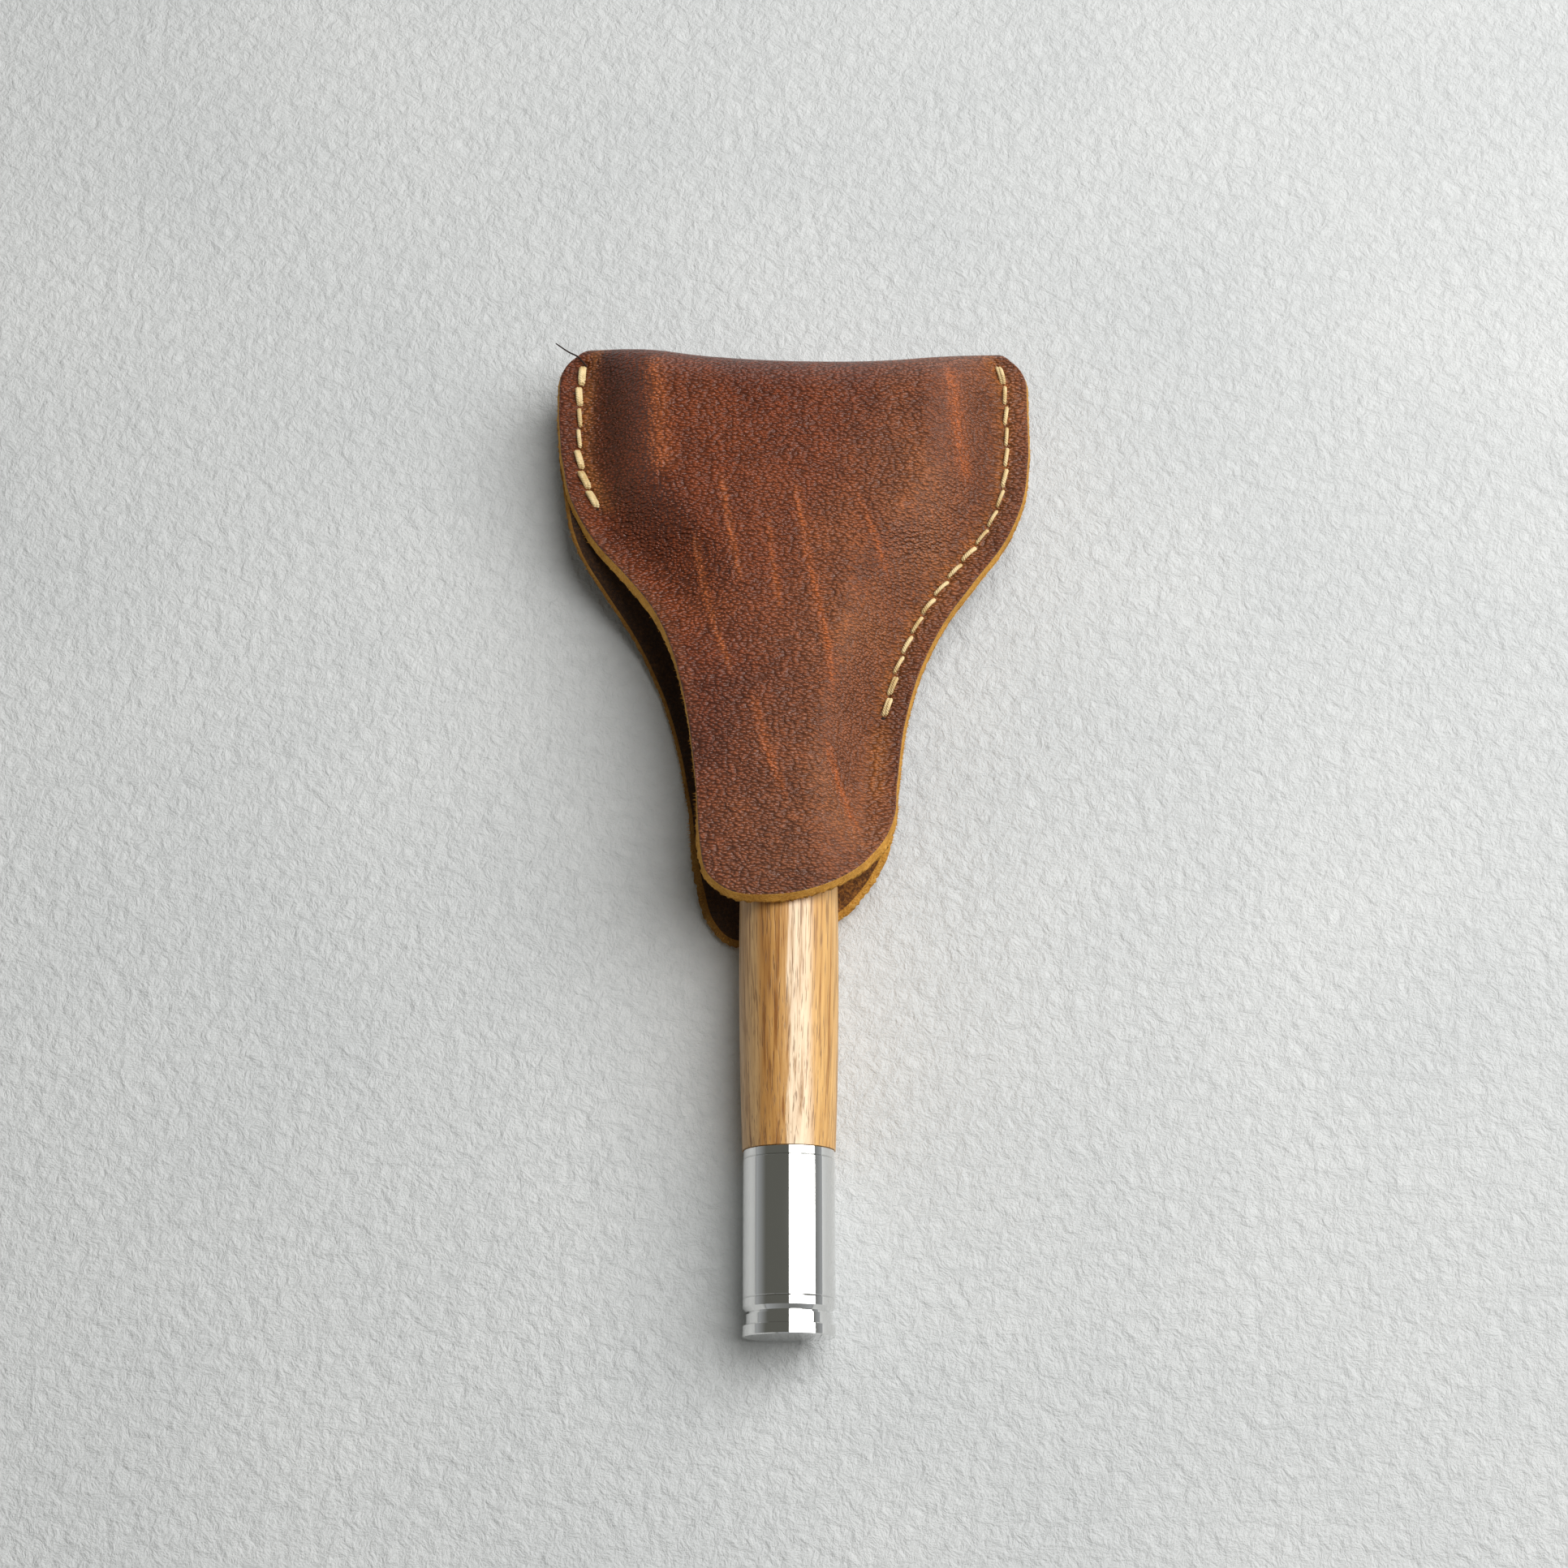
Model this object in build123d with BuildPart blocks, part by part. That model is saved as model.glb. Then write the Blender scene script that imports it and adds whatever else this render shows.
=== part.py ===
from build123d import *
from math import atan, atan2, cos, degrees, radians, sin, sqrt, tan
import os

# A leather sheath, folded over at the top and stitched down both sides, with a wooden-handled
# cartridge razor lying in it. The left seam is short, so the razor swings out of the left side.
# Millimetres. +Y runs from the handle's end to the fold and +Z is up from the table. The origin
# is on the table, under the middle of the whole object.

# ---------------------------------------------------------------- driving dimensions
total_length = 139.6

# Leather
sheath_length = 84.4
neck_room = 7.75
leather = 1.7
seam_slit = 0.05
head_room = 0.3737
side_room = 8.8
sheath_corner = 5.5
fold_radius = 7.6
seam_margin = 5.0
ramp_run = 7.4
open_reach = 2.0
left_flare = 22.0
right_flare = 27.0

# Thread
stitch_inset = 3.3
stitch_pitch = 3.35
thread_width = 0.8
thread_rise = 0.45
thread_hole_radius = 0.48
thread_leg_radius = 0.4
stitch_gap = 0.25
seam_top_drop = 1.8
left_seam_length = 24.5
right_seam_length = 55.8

# Handle, by distance along its own axis from the end of the metal cap
razor_x = -0.6
rim_radius = 6.05
rim_length = 1.5
neck_depth = 0.45
neck_length = 1.35
undercut_depth = 0.8
undercut_length = 0.3
bevel_length = 0.6
cap_length = 4.9
sleeve_end = 23.0
joint_chamfer = 0.12
ring_depth = 0.05
ring_length = 1.2
barrel_start_radius = 6.15
belly_radius = 6.65
belly_run = 31.4
barrel_end_radius = 5.2
tube_radius = 4.0
tube_wall = 0.4
spigot_length = 12.0
stud_radius = 2.5
stud_length = 6.0
bead_radius = 5.3
bead_length = 1.4
ferrule_length = 9.8
ferrule_tip_radius = 4.1
ferrule_step = 0.7
glue_gap = 0.05
rest_gap = 0.05

# Head block, release button and plunger
head_length = 12.037
head_gap = 2.3
head_lift = 2.5
head_width = 13.6
head_height = 7.2
head_corner = 2.4
button_width = 6.6
button_length = 6.4
button_travel = 2.5
button_recess = 0.8
button_rise = 0.7
button_setback = 9.5
button_gap = 0.1
button_corner = 1.0
plunger_radius = 1.1
plunger_lift = 3.6
plunger_bore_radius = 1.3
plunger_bore_depth = 10.0
plunger_length = 7.0
plunger_gap = 0.1
spring_wire = 0.3
spring_pitch = 0.72
spring_end_gap = 0.02

# Cartridge
cartridge_width = 40.0
cartridge_thick = 4.4
cap_gap = 6.1
pivot_inset = 6.8
pivot_drop = 1.125
cartridge_edge = 0.8
slab_end_wall = 4.0
bridge_half_width = 7.6
trough_depth = 1.7
blade_count = 3
blade_seat = 0.8
blade_first = 0.35
blade_last = 0.0175
blade_depth = 2.3
blade_thick = 0.25
blade_pitch = 1.9
blade_tilt = 22.0
blade_gap = 0.05
guard_inset = 1.0
guard_depth = 2.4
guard_rib = 1.1
guard_fins = 5
guard_rise = 0.3
strip_inset = 1.2
strip_depth = 3.0
strip_rise = 0.25
seat_depth = 0.7
clip_width = 1.6
clip_thick = 0.25
clip_inset = 1.1
lug_thick = 1.5
lug_inner_x = 5.6
lug_radius = 1.5
pin_radius = 0.75
pin_clearance = 0.05
hub_plate = 1.3
hub_bar_radius = 1.0
hub_tongue_width = 10.0
hub_tongue_thick = 1.4
hub_tongue_length = 4.8
hub_tongue_lift = 0.9
hub_gap = 0.1
hub_step = 0.9
plate_drop = 0.8

# ---------------------------------------------------------------- derived places
fold_y = total_length / 2
lip_y = fold_y - sheath_length
left_seam_end = fold_y - left_seam_length
right_seam_end = fold_y - right_seam_length
sheath_half_width = cartridge_width / 2 + side_room + seam_margin
neck_half_width = belly_radius + neck_room

# The cartridge lies just inside the fold, with the head block behind it.
blade_run = blade_depth * cos(radians(blade_tilt))
blade_field = blade_first + (blade_count - 1) * blade_pitch + blade_run + blade_last
cartridge_depth = guard_inset + guard_depth + guard_rib + blade_field + strip_depth + strip_inset
cap_y = fold_y - cap_gap
guard_y = cap_y - cartridge_depth
pivot_y = guard_y + pivot_inset
head_front_y = guard_y - head_gap
plunger_bore_y = head_front_y - plunger_bore_depth
button_back_y = head_front_y - button_setback

# The handle rests on its rim and on the lip of the back panel, which sets its slope.
tilt = atan((leather + belly_radius + rest_gap - rim_radius) / (lip_y + total_length / 2))
end_y = -total_length / 2 + rim_radius * sin(tilt)
end_z = rim_radius * cos(tilt)
handle_plane = Plane(
    origin=(razor_x, end_y, end_z), x_dir=(0, cos(tilt), sin(tilt)), z_dir=(1, 0, 0)
)
handle_axis = Axis((razor_x, end_y, end_z), (0, cos(tilt), sin(tilt)))
side_plane = Plane(origin=(razor_x, 0, 0), x_dir=(0, 1, 0), z_dir=(1, 0, 0))

sleeve_radius = rim_radius
neck_radius = rim_radius - neck_depth
undercut_radius = rim_radius - undercut_depth
ring_radius = sleeve_radius - ring_depth
neck_end = rim_length + neck_length
undercut_end = neck_end + undercut_length
bevel_end = undercut_end + bevel_length
stud_end = cap_length + stud_length
stud_bore = stud_radius + glue_gap
barrel_start = sleeve_end + ring_length
belly_at = barrel_start + belly_run
ferrule_end = (head_front_y - head_length - end_y) / cos(tilt)
barrel_end = ferrule_end - ferrule_length
tube_bore_radius = tube_radius - tube_wall
spigot_radius = tube_bore_radius - glue_gap
edge_radius = sleeve_radius - joint_chamfer

# The pocket is as high as the highest point of the handle in it, which is its belly or its bead.
bead_top = end_z + (barrel_end + bead_length / 2) * sin(tilt) + bead_radius * cos(tilt)
belly_top = end_z + belly_at * sin(tilt) + belly_radius * cos(tilt)
pocket_floor = leather
pocket_roof = max(bead_top, belly_top) + head_room
sheath_height = pocket_roof + leather
seam_level = sheath_height / 2
flange_top = seam_level + seam_slit + leather
flange_bottom = seam_level - seam_slit - leather
bend_lean = leather * tan(atan((pocket_roof - pocket_floor) / 2 / ramp_run) / 2)

# The cartridge's slab lies level with the seams, where the pocket is widest.
slab_bottom = seam_level - cartridge_thick / 2
slab_top = seam_level + cartridge_thick / 2
pivot_z = slab_bottom - pivot_drop
plunger_z = pivot_z + plunger_lift
hub_tongue_z = pivot_z + hub_tongue_lift
head_front_z = pivot_z + head_lift
slab_middle_y = (guard_y + cap_y) / 2
window_half_width = cartridge_width / 2 - slab_end_wall
strip_y = cap_y - strip_inset - strip_depth / 2
guard_strip_y = guard_y + guard_inset + guard_depth / 2
trough_front_y = strip_y - strip_depth / 2
trough_back_y = trough_front_y - blade_field
clip_centre = cartridge_width / 2 - clip_inset - clip_width / 2

# Outline of the hide: shares of the way down from the fold to the lip, and of the way out from
# the neck's half-width to the sheath's. It is the same on the left and the right.
side_shape = [
    (0.1872, 1.0),
    (0.2701, 0.9485),
    (0.3472, 0.8041),
    (0.4182, 0.5773),
    (0.4834, 0.3763),
    (0.5664, 0.1959),
    (0.6611, 0.0722),
    (0.7796, 0.0),
]
# The tongue below it runs on round the lip: shares of the neck's half-width, from the right to
# the left, and of the height from the lip to the tongue's top.
tongue_shape = [
    (1.0, 1.0),
    (0.8958, 0.6237),
    (0.6389, 0.3011),
    (0.2361, 0.1075),
    (-0.2083, 0.0),
    (-0.5972, 0.0484),
    (-0.8472, 0.2688),
    (-0.9444, 0.6237),
    (-1.0, 1.0),
]
side_reach = sheath_half_width - neck_half_width
edge_points = [
    (fold_y - down * sheath_length, neck_half_width + out * side_reach) for down, out in side_shape
]
tongue_top = edge_points[-1][0]
tongue_points = [
    (across * neck_half_width, lip_y + up * (tongue_top - lip_y)) for across, up in tongue_shape
]
# Heights at which the pocket's section is set: the outline's points, the seams' ends, and one
# more halfway along each of the last three spans, where the panels spread.
outline_heights = [y for y, _ in edge_points]
span_ends = outline_heights[-3:] + [lip_y]
station_heights = outline_heights + [left_seam_end, right_seam_end]
station_heights += [(upper + lower) / 2 for upper, lower in zip(span_ends, span_ends[1:])]
station_heights = [fold_y + 5] + sorted(station_heights, reverse=True) + [lip_y - 5]


def edge_half_width(y):
    """Half the hide's width at height y, straight between the outline's points."""
    if y >= edge_points[0][0]:
        return edge_points[0][1]
    for (upper_y, upper_x), (lower_y, lower_x) in zip(edge_points, edge_points[1:]):
        if y >= lower_y:
            return lower_x + (upper_x - lower_x) * (y - lower_y) / (upper_y - lower_y)
    return edge_points[-1][1]


def pocket_side(y, seam_end, flare):
    """One side of the pocket at height y: where its flat ends, its edge, floor and roof there."""
    half_width = edge_half_width(y)
    flat = half_width - seam_margin - ramp_run
    if y >= seam_end:
        return flat, half_width - seam_margin, seam_level - seam_slit, seam_level + seam_slit
    opening = min(1.0, (seam_end - y) / flare)
    floor = seam_level - seam_slit - opening * (seam_level - seam_slit - pocket_floor)
    roof = seam_level + seam_slit + opening * (pocket_roof - seam_level - seam_slit)
    return flat, half_width + open_reach, floor, roof


def pocket_section(y):
    """The pocket's cross-section at height y, as (x, z) corners."""
    left_flat, left_edge, left_floor, left_roof = pocket_side(y, left_seam_end, left_flare)
    right_flat, right_edge, right_floor, right_roof = pocket_side(y, right_seam_end, right_flare)
    return [
        (-left_edge, left_floor),
        (-left_flat, pocket_floor),
        (right_flat, pocket_floor),
        (right_edge, right_floor),
        (right_edge, right_roof),
        (right_flat, pocket_roof),
        (-left_flat, pocket_roof),
        (-left_edge, left_roof),
    ]


def hide_section(y):
    """The hide's outside at height y: the pocket's section, one leather thickness further out."""
    beyond = sheath_half_width + 5
    left_flat, left_edge, left_floor, left_roof = pocket_side(y, left_seam_end, left_flare)
    right_flat, right_edge, right_floor, right_roof = pocket_side(y, right_seam_end, right_flare)
    return [
        (-beyond, left_floor - leather),
        (-left_edge - bend_lean, left_floor - leather),
        (-left_flat - bend_lean, 0),
        (right_flat + bend_lean, 0),
        (right_edge + bend_lean, right_floor - leather),
        (beyond, right_floor - leather),
        (beyond, right_roof + leather),
        (right_edge + bend_lean, right_roof + leather),
        (right_flat + bend_lean, sheath_height),
        (-left_flat - bend_lean, sheath_height),
        (-left_edge - bend_lean, left_roof + leather),
        (-beyond, left_roof + leather),
    ]


def ruled_solid(section):
    """A solid whose sides run straight from one station's section to the next one's."""
    rings = [[Vector(x, y, z) for x, z in section(y)] for y in station_heights]
    faces = [Face(Wire.make_polygon(rings[0])), Face(Wire.make_polygon(rings[-1]))]
    for upper, lower in zip(rings, rings[1:]):
        for index in range(len(upper)):
            upper_edge = Edge.make_line(upper[index - 1], upper[index])
            lower_edge = Edge.make_line(lower[index - 1], lower[index])
            faces.append(Face.make_surface_from_curves(upper_edge, lower_edge))
    return Solid(Shell(faces))


def stitch_holes(side, seam_end):
    """Points along a seam, one stitch apart; side is 1 on the right and -1 on the left."""
    last = seam_end + stitch_inset / 2
    heights = [fold_y - seam_top_drop] + [y for y, _ in edge_points if y > last + 1] + [last]
    with BuildLine() as seam:
        Polyline(*[(side * (edge_half_width(y) - stitch_inset), y) for y in heights])
    count = round(seam.wire().length / stitch_pitch)
    return [seam.wire() @ (index / count) for index in range(count + 1)]


def keep(piece, label):
    """Labels a finished sub-part and writes its STEP file."""
    piece.part.label = label
    export_step(piece.part, f"parts/{label}.step")


os.makedirs("parts", exist_ok=True)
seam_holes = {
    "left_seam_thread": stitch_holes(-1, left_seam_end),
    "right_seam_thread": stitch_holes(1, right_seam_end),
}

# ---------------------------------------------------------------- sheath
with BuildPart() as pocket:
    add(ruled_solid(pocket_section))
    with BuildSketch(Plane.YZ) as pocket_side_view:
        with BuildLine():
            Polyline(
                (lip_y - 10, pocket_floor),
                (fold_y - leather, pocket_floor),
                (fold_y - leather, pocket_roof),
                (lip_y - 10, pocket_roof),
                close=True,
            )
        make_face()
        fillet(pocket_side_view.vertices().group_by(Axis.X)[-1], fold_radius - leather)
    extrude(amount=sheath_half_width + 10, both=True, mode=Mode.INTERSECT)

with BuildPart() as sheath_leather:
    add(ruled_solid(hide_section))
    with BuildSketch(Plane.YZ) as hide_side_view:
        with BuildLine():
            Polyline(
                (lip_y - 10, 0),
                (fold_y, 0),
                (fold_y, sheath_height),
                (lip_y - 10, sheath_height),
                close=True,
            )
        make_face()
        fillet(hide_side_view.vertices().group_by(Axis.X)[-1], fold_radius)
    extrude(amount=sheath_half_width + 10, both=True, mode=Mode.INTERSECT)
    with BuildSketch() as hide_outline:
        with BuildLine():
            Polyline(
                (-sheath_half_width, edge_points[0][0]),
                (-sheath_half_width, fold_y),
                (sheath_half_width, fold_y),
                (sheath_half_width, edge_points[0][0]),
            )
            Spline(*[(x, y) for y, x in edge_points], tangents=[(0, -1), (-0.14, -1)])
            Spline(*tongue_points, tangents=[(-0.14, -1), (-0.14, 1)])
            Spline(*[(-x, y) for y, x in reversed(edge_points)], tangents=[(-0.14, 1), (0, 1)])
        make_face()
        fillet(hide_outline.vertices().group_by(Axis.Y)[-1], sheath_corner)
    extrude(amount=sheath_height, mode=Mode.INTERSECT)
    add(pocket.part, mode=Mode.SUBTRACT)
    with BuildSketch():
        for holes in seam_holes.values():
            with Locations(*holes):
                Circle(thread_hole_radius)
    extrude(amount=sheath_height, mode=Mode.SUBTRACT)
keep(sheath_leather, "sheath_leather")

# Each thread lies in stitches on both faces, joined by its legs through the holes.
for name, holes in seam_holes.items():
    with BuildPart() as seam_thread:
        for level, rise in ((flange_top, thread_rise), (flange_bottom, -thread_rise)):
            with BuildSketch(Plane.XY.offset(level)):
                for start, finish in zip(holes, holes[1:]):
                    run = finish - start
                    middle = start + run / 2
                    bearing = degrees(atan2(run.Y, run.X))
                    with Locations(Location((middle.X, middle.Y, 0), (0, 0, bearing))):
                        SlotOverall(run.length - stitch_gap, thread_width)
            extrude(amount=rise)
        with BuildSketch(Plane.XY.offset(flange_bottom)):
            with Locations(*holes):
                Circle(thread_leg_radius)
        extrude(amount=flange_top - flange_bottom)
    keep(seam_thread, name)

# ---------------------------------------------------------------- handle
with BuildPart() as end_cap:
    with BuildSketch(handle_plane):
        with BuildLine():
            Polyline(
                (0, 0),
                (0, rim_radius - joint_chamfer),
                (joint_chamfer, rim_radius),
                (rim_length - joint_chamfer, rim_radius),
                (rim_length, rim_radius - joint_chamfer),
                (rim_length, neck_radius),
                (neck_end, neck_radius),
                (neck_end, undercut_radius),
                (undercut_end, undercut_radius),
                (undercut_end, neck_radius),
                (bevel_end, sleeve_radius),
                (cap_length - joint_chamfer, sleeve_radius),
                (cap_length, edge_radius),
                (cap_length, stud_radius),
                (stud_end, stud_radius),
                (stud_end, 0),
                close=True,
            )
        make_face()
    revolve(axis=handle_axis)
keep(end_cap, "end_cap")

with BuildPart() as lower_sleeve:
    with BuildSketch(handle_plane):
        with BuildLine():
            Polyline(
                (cap_length, stud_bore),
                (cap_length, edge_radius),
                (cap_length + joint_chamfer, sleeve_radius),
                (sleeve_end - joint_chamfer, sleeve_radius),
                (sleeve_end, edge_radius),
                (sleeve_end, spigot_radius),
                (barrel_start + spigot_length, spigot_radius),
                (barrel_start + spigot_length, 0),
                (stud_end + glue_gap, 0),
                (stud_end + glue_gap, stud_bore),
                close=True,
            )
        make_face()
    revolve(axis=handle_axis)
keep(lower_sleeve, "lower_sleeve")

with BuildPart() as trim_ring:
    with BuildSketch(handle_plane):
        with BuildLine():
            Polyline(
                (sleeve_end, tube_bore_radius),
                (sleeve_end, ring_radius - joint_chamfer),
                (sleeve_end + joint_chamfer, ring_radius),
                (barrel_start - joint_chamfer, ring_radius),
                (barrel_start, ring_radius - joint_chamfer),
                (barrel_start, tube_bore_radius),
                close=True,
            )
        make_face()
    revolve(axis=handle_axis)
keep(trim_ring, "trim_ring")

with BuildPart() as wood_barrel:
    with BuildSketch(handle_plane):
        with BuildLine():
            belly = ThreePointArc(
                (barrel_start, barrel_start_radius),
                (belly_at, belly_radius),
                (barrel_end, barrel_end_radius),
            )
            Polyline(
                belly @ 1,
                (barrel_end, tube_radius + glue_gap),
                (barrel_start, tube_radius + glue_gap),
                belly @ 0,
            )
        make_face()
    revolve(axis=handle_axis)
keep(wood_barrel, "wood_barrel")

with BuildPart() as brass_tube:
    with BuildSketch(handle_plane):
        with BuildLine():
            Polyline(
                (barrel_start, tube_bore_radius),
                (barrel_start, tube_radius),
                (barrel_end, tube_radius),
                (barrel_end, tube_bore_radius),
                close=True,
            )
        make_face()
    revolve(axis=handle_axis)
keep(brass_tube, "brass_tube")

with BuildPart() as neck_ferrule:
    with BuildSketch(handle_plane):
        with BuildLine():
            bead_end = barrel_end + bead_length
            bead_foot = barrel_end_radius - joint_chamfer
            bead = ThreePointArc(
                (barrel_end, bead_foot),
                (barrel_end + bead_length / 2, bead_radius),
                (bead_end, bead_foot),
            )
            waist = Line(bead @ 1, (bead_end, ferrule_tip_radius + ferrule_step))
            flare = ThreePointArc(
                waist @ 1,
                ((bead_end + ferrule_end) / 2, ferrule_tip_radius + ferrule_step / 6),
                (ferrule_end, ferrule_tip_radius),
            )
            Polyline(
                flare @ 1,
                (ferrule_end, stud_bore),
                (ferrule_end - stud_length - glue_gap, stud_bore),
                (ferrule_end - stud_length - glue_gap, 0),
                (barrel_end - spigot_length, 0),
                (barrel_end - spigot_length, spigot_radius),
                (barrel_end, spigot_radius),
                bead @ 0,
            )
        make_face()
    revolve(axis=handle_axis)
keep(neck_ferrule, "neck_ferrule")

# ---------------------------------------------------------------- head block and what is in it
ferrule_face = Plane(
    origin=handle_plane.from_local_coords(Vector(ferrule_end, 0, 0)),
    x_dir=(1, 0, 0),
    z_dir=(0, cos(tilt), sin(tilt)),
)
block_top_y = ferrule_face.origin.Y - ferrule_tip_radius * sin(tilt)
block_top_z = ferrule_face.origin.Z + ferrule_tip_radius * cos(tilt)
top_slope = atan2(head_front_z + head_height / 2 - block_top_z, head_front_y - block_top_y)
button_floor = Plane(
    origin=(
        razor_x,
        button_back_y,
        block_top_z + (button_back_y - block_top_y) * tan(top_slope) - button_recess,
    ),
    x_dir=(1, 0, 0),
    z_dir=(0, -sin(top_slope), cos(top_slope)),
)


def head_front(z):
    """The plane of the head block's front face, with its origin at height z."""
    return Plane(origin=(razor_x, head_front_y, z), x_dir=(-1, 0, 0), z_dir=(0, 1, 0))


with BuildPart() as head_block:
    with BuildSketch(ferrule_face):
        Circle(ferrule_tip_radius)
    with BuildSketch(head_front(head_front_z)):
        RectangleRounded(head_width, head_height, head_corner)
    loft()
    with BuildSketch(ferrule_face):
        Circle(stud_radius)
    extrude(amount=-stud_length)
    with BuildSketch(head_front(plunger_z)):
        Circle(plunger_bore_radius)
    extrude(amount=plunger_bore_y - head_front_y, mode=Mode.SUBTRACT)
    with BuildSketch(head_front(hub_tongue_z)):
        Rectangle(hub_tongue_width + 2 * hub_gap, hub_tongue_thick + 2 * hub_gap)
    extrude(amount=-hub_tongue_length - hub_gap, mode=Mode.SUBTRACT)
    with BuildSketch(button_floor):
        Rectangle(
            button_width + 2 * button_gap,
            button_length + button_travel + 2 * button_gap,
            align=(Align.CENTER, Align.MIN),
        )
    extrude(amount=2 * button_recess, mode=Mode.SUBTRACT)
keep(head_block, "head_block")

with BuildPart() as release_button:
    with BuildSketch(button_floor.offset(button_gap)):
        with Locations((0, button_gap + button_length / 2)):
            RectangleRounded(button_width, button_length, button_corner)
    extrude(amount=button_recess + button_rise - button_gap)
    with BuildSketch(button_floor.offset(button_recess + button_rise)):
        with Locations((0, button_gap + button_length / 2)):
            with GridLocations(0, button_length / 4, 1, 3):
                SlotOverall(button_width - 2 * button_corner, button_length / 9)
    extrude(amount=-button_rise / 2, mode=Mode.SUBTRACT)
keep(release_button, "release_button")

plunger_tip_y = guard_y - plunger_gap
plunger_foot_y = plunger_tip_y - plunger_length
with BuildPart() as plunger:
    with BuildSketch(side_plane):
        with BuildLine():
            dome = RadiusArc(
                (plunger_tip_y, plunger_z),
                (plunger_tip_y - plunger_radius, plunger_z + plunger_radius),
                -plunger_radius,
            )
            Polyline(
                dome @ 1,
                (plunger_foot_y, plunger_z + plunger_radius),
                (plunger_foot_y, plunger_z),
                dome @ 0,
            )
        make_face()
    revolve(axis=Axis((razor_x, 0, plunger_z), (0, 1, 0)))
keep(plunger, "plunger")

with BuildPart() as plunger_spring:
    with BuildLine():
        coil = Helix(
            pitch=spring_pitch,
            height=plunger_foot_y - plunger_bore_y - spring_wire - 2 * spring_end_gap,
            radius=plunger_bore_radius - spring_wire,
            center=(razor_x, plunger_bore_y + spring_wire / 2 + spring_end_gap, plunger_z),
            direction=(0, 1, 0),
        )
    with BuildSketch(Plane(origin=coil @ 0, z_dir=coil % 0)):
        Circle(spring_wire / 2)
    sweep(is_frenet=True)
keep(plunger_spring, "plunger_spring")

# ---------------------------------------------------------------- cartridge
# Side view of the slab. Its back is an arc centred straight above the pivot, so that the plunger
# moves evenly as the cartridge turns.
guard_radius = pivot_y - guard_y
foot_run = sqrt(guard_radius**2 - (plunger_z - slab_bottom) ** 2)
brow_run = sqrt(guard_radius**2 - (slab_top - plunger_z) ** 2)
with BuildSketch() as slab_profile:
    with BuildLine():
        back = ThreePointArc(
            (pivot_y - foot_run, slab_bottom),
            (guard_y, plunger_z),
            (pivot_y - brow_run, slab_top),
        )
        Polyline(back @ 1, (cap_y, slab_top), (cap_y, slab_bottom), back @ 0)
    make_face()
    fillet(slab_profile.vertices(), cartridge_edge)

with BuildSketch() as clip_profile:
    add(slab_profile.sketch)
    offset(slab_profile.sketch, amount=-clip_thick, mode=Mode.SUBTRACT)
with BuildSketch() as clip_groove:
    with Locations((slab_middle_y, seam_level)):
        Rectangle(2 * cartridge_depth, 2 * cartridge_thick)
    offset(slab_profile.sketch, amount=-clip_thick - blade_gap, mode=Mode.SUBTRACT)

# Side views of the blades, each with its edge up and toward the guard.
blade_profiles = []
for index in range(blade_count):
    edge_y = trough_back_y + blade_first + index * blade_pitch
    with BuildSketch() as blade_profile:
        with Locations(Location((edge_y, slab_top, 0), (0, 0, -blade_tilt))):
            Rectangle(blade_depth, blade_thick, align=(Align.MIN, Align.MAX))
    blade_profiles.append(blade_profile.sketch)

with BuildPart() as cartridge_frame:
    with BuildSketch(side_plane):
        add(slab_profile.sketch)
    extrude(amount=cartridge_width / 2, both=True)
    # Trough of the blades, and the two windows under it that are rinsed out
    with BuildSketch(Plane.XY.offset(slab_top)):
        with Locations((razor_x, trough_back_y)):
            Rectangle(2 * window_half_width, blade_field, align=(Align.CENTER, Align.MIN))
    extrude(amount=-trough_depth, mode=Mode.SUBTRACT)
    with BuildSketch(Plane.XY.offset(slab_top)):
        for side in (-1, 1):
            with Locations((razor_x + side * (window_half_width + bridge_half_width) / 2, trough_back_y)):
                Rectangle(
                    window_half_width - bridge_half_width,
                    blade_field,
                    align=(Align.CENTER, Align.MIN),
                )
    extrude(amount=-cartridge_thick, mode=Mode.SUBTRACT)
    with BuildSketch(side_plane):
        for profile in blade_profiles:
            offset(profile, amount=blade_gap, mode=Mode.ADD)
    extrude(amount=window_half_width + blade_seat + blade_gap, both=True, mode=Mode.SUBTRACT)
    # Seats of the guard and of the soap strip
    with BuildSketch(Plane.XY.offset(slab_top)):
        with Locations((razor_x, guard_strip_y)):
            Rectangle(2 * window_half_width, guard_depth)
        with Locations((razor_x, strip_y)):
            Rectangle(2 * window_half_width, strip_depth)
    extrude(amount=-seat_depth, mode=Mode.SUBTRACT)
    for side in (-1, 1):
        with BuildSketch(side_plane.offset(side * clip_centre)):
            add(clip_groove.sketch)
        extrude(amount=clip_width / 2 + blade_gap, both=True, mode=Mode.SUBTRACT)
    # Lugs that turn on the hub's pivot pins
    for side in (-1, 1):
        with BuildSketch(side_plane.offset(side * (lug_inner_x + lug_thick / 2))):
            with Locations((pivot_y, pivot_z)):
                Circle(lug_radius)
                Rectangle(
                    2 * lug_radius,
                    slab_bottom + cartridge_edge - pivot_z,
                    align=(Align.CENTER, Align.MIN),
                )
                Circle(pin_radius + pin_clearance, mode=Mode.SUBTRACT)
        extrude(amount=lug_thick / 2, both=True)
keep(cartridge_frame, "cartridge_frame")

for number, profile in enumerate(blade_profiles, start=1):
    with BuildPart() as blade:
        with BuildSketch(side_plane):
            add(profile)
        extrude(amount=window_half_width + blade_seat, both=True)
        chamfer(blade.edges().filter_by(Axis.X).group_by(Axis.Y)[0], 0.1, 0.2)
    keep(blade, f"blade_{number}")

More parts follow.
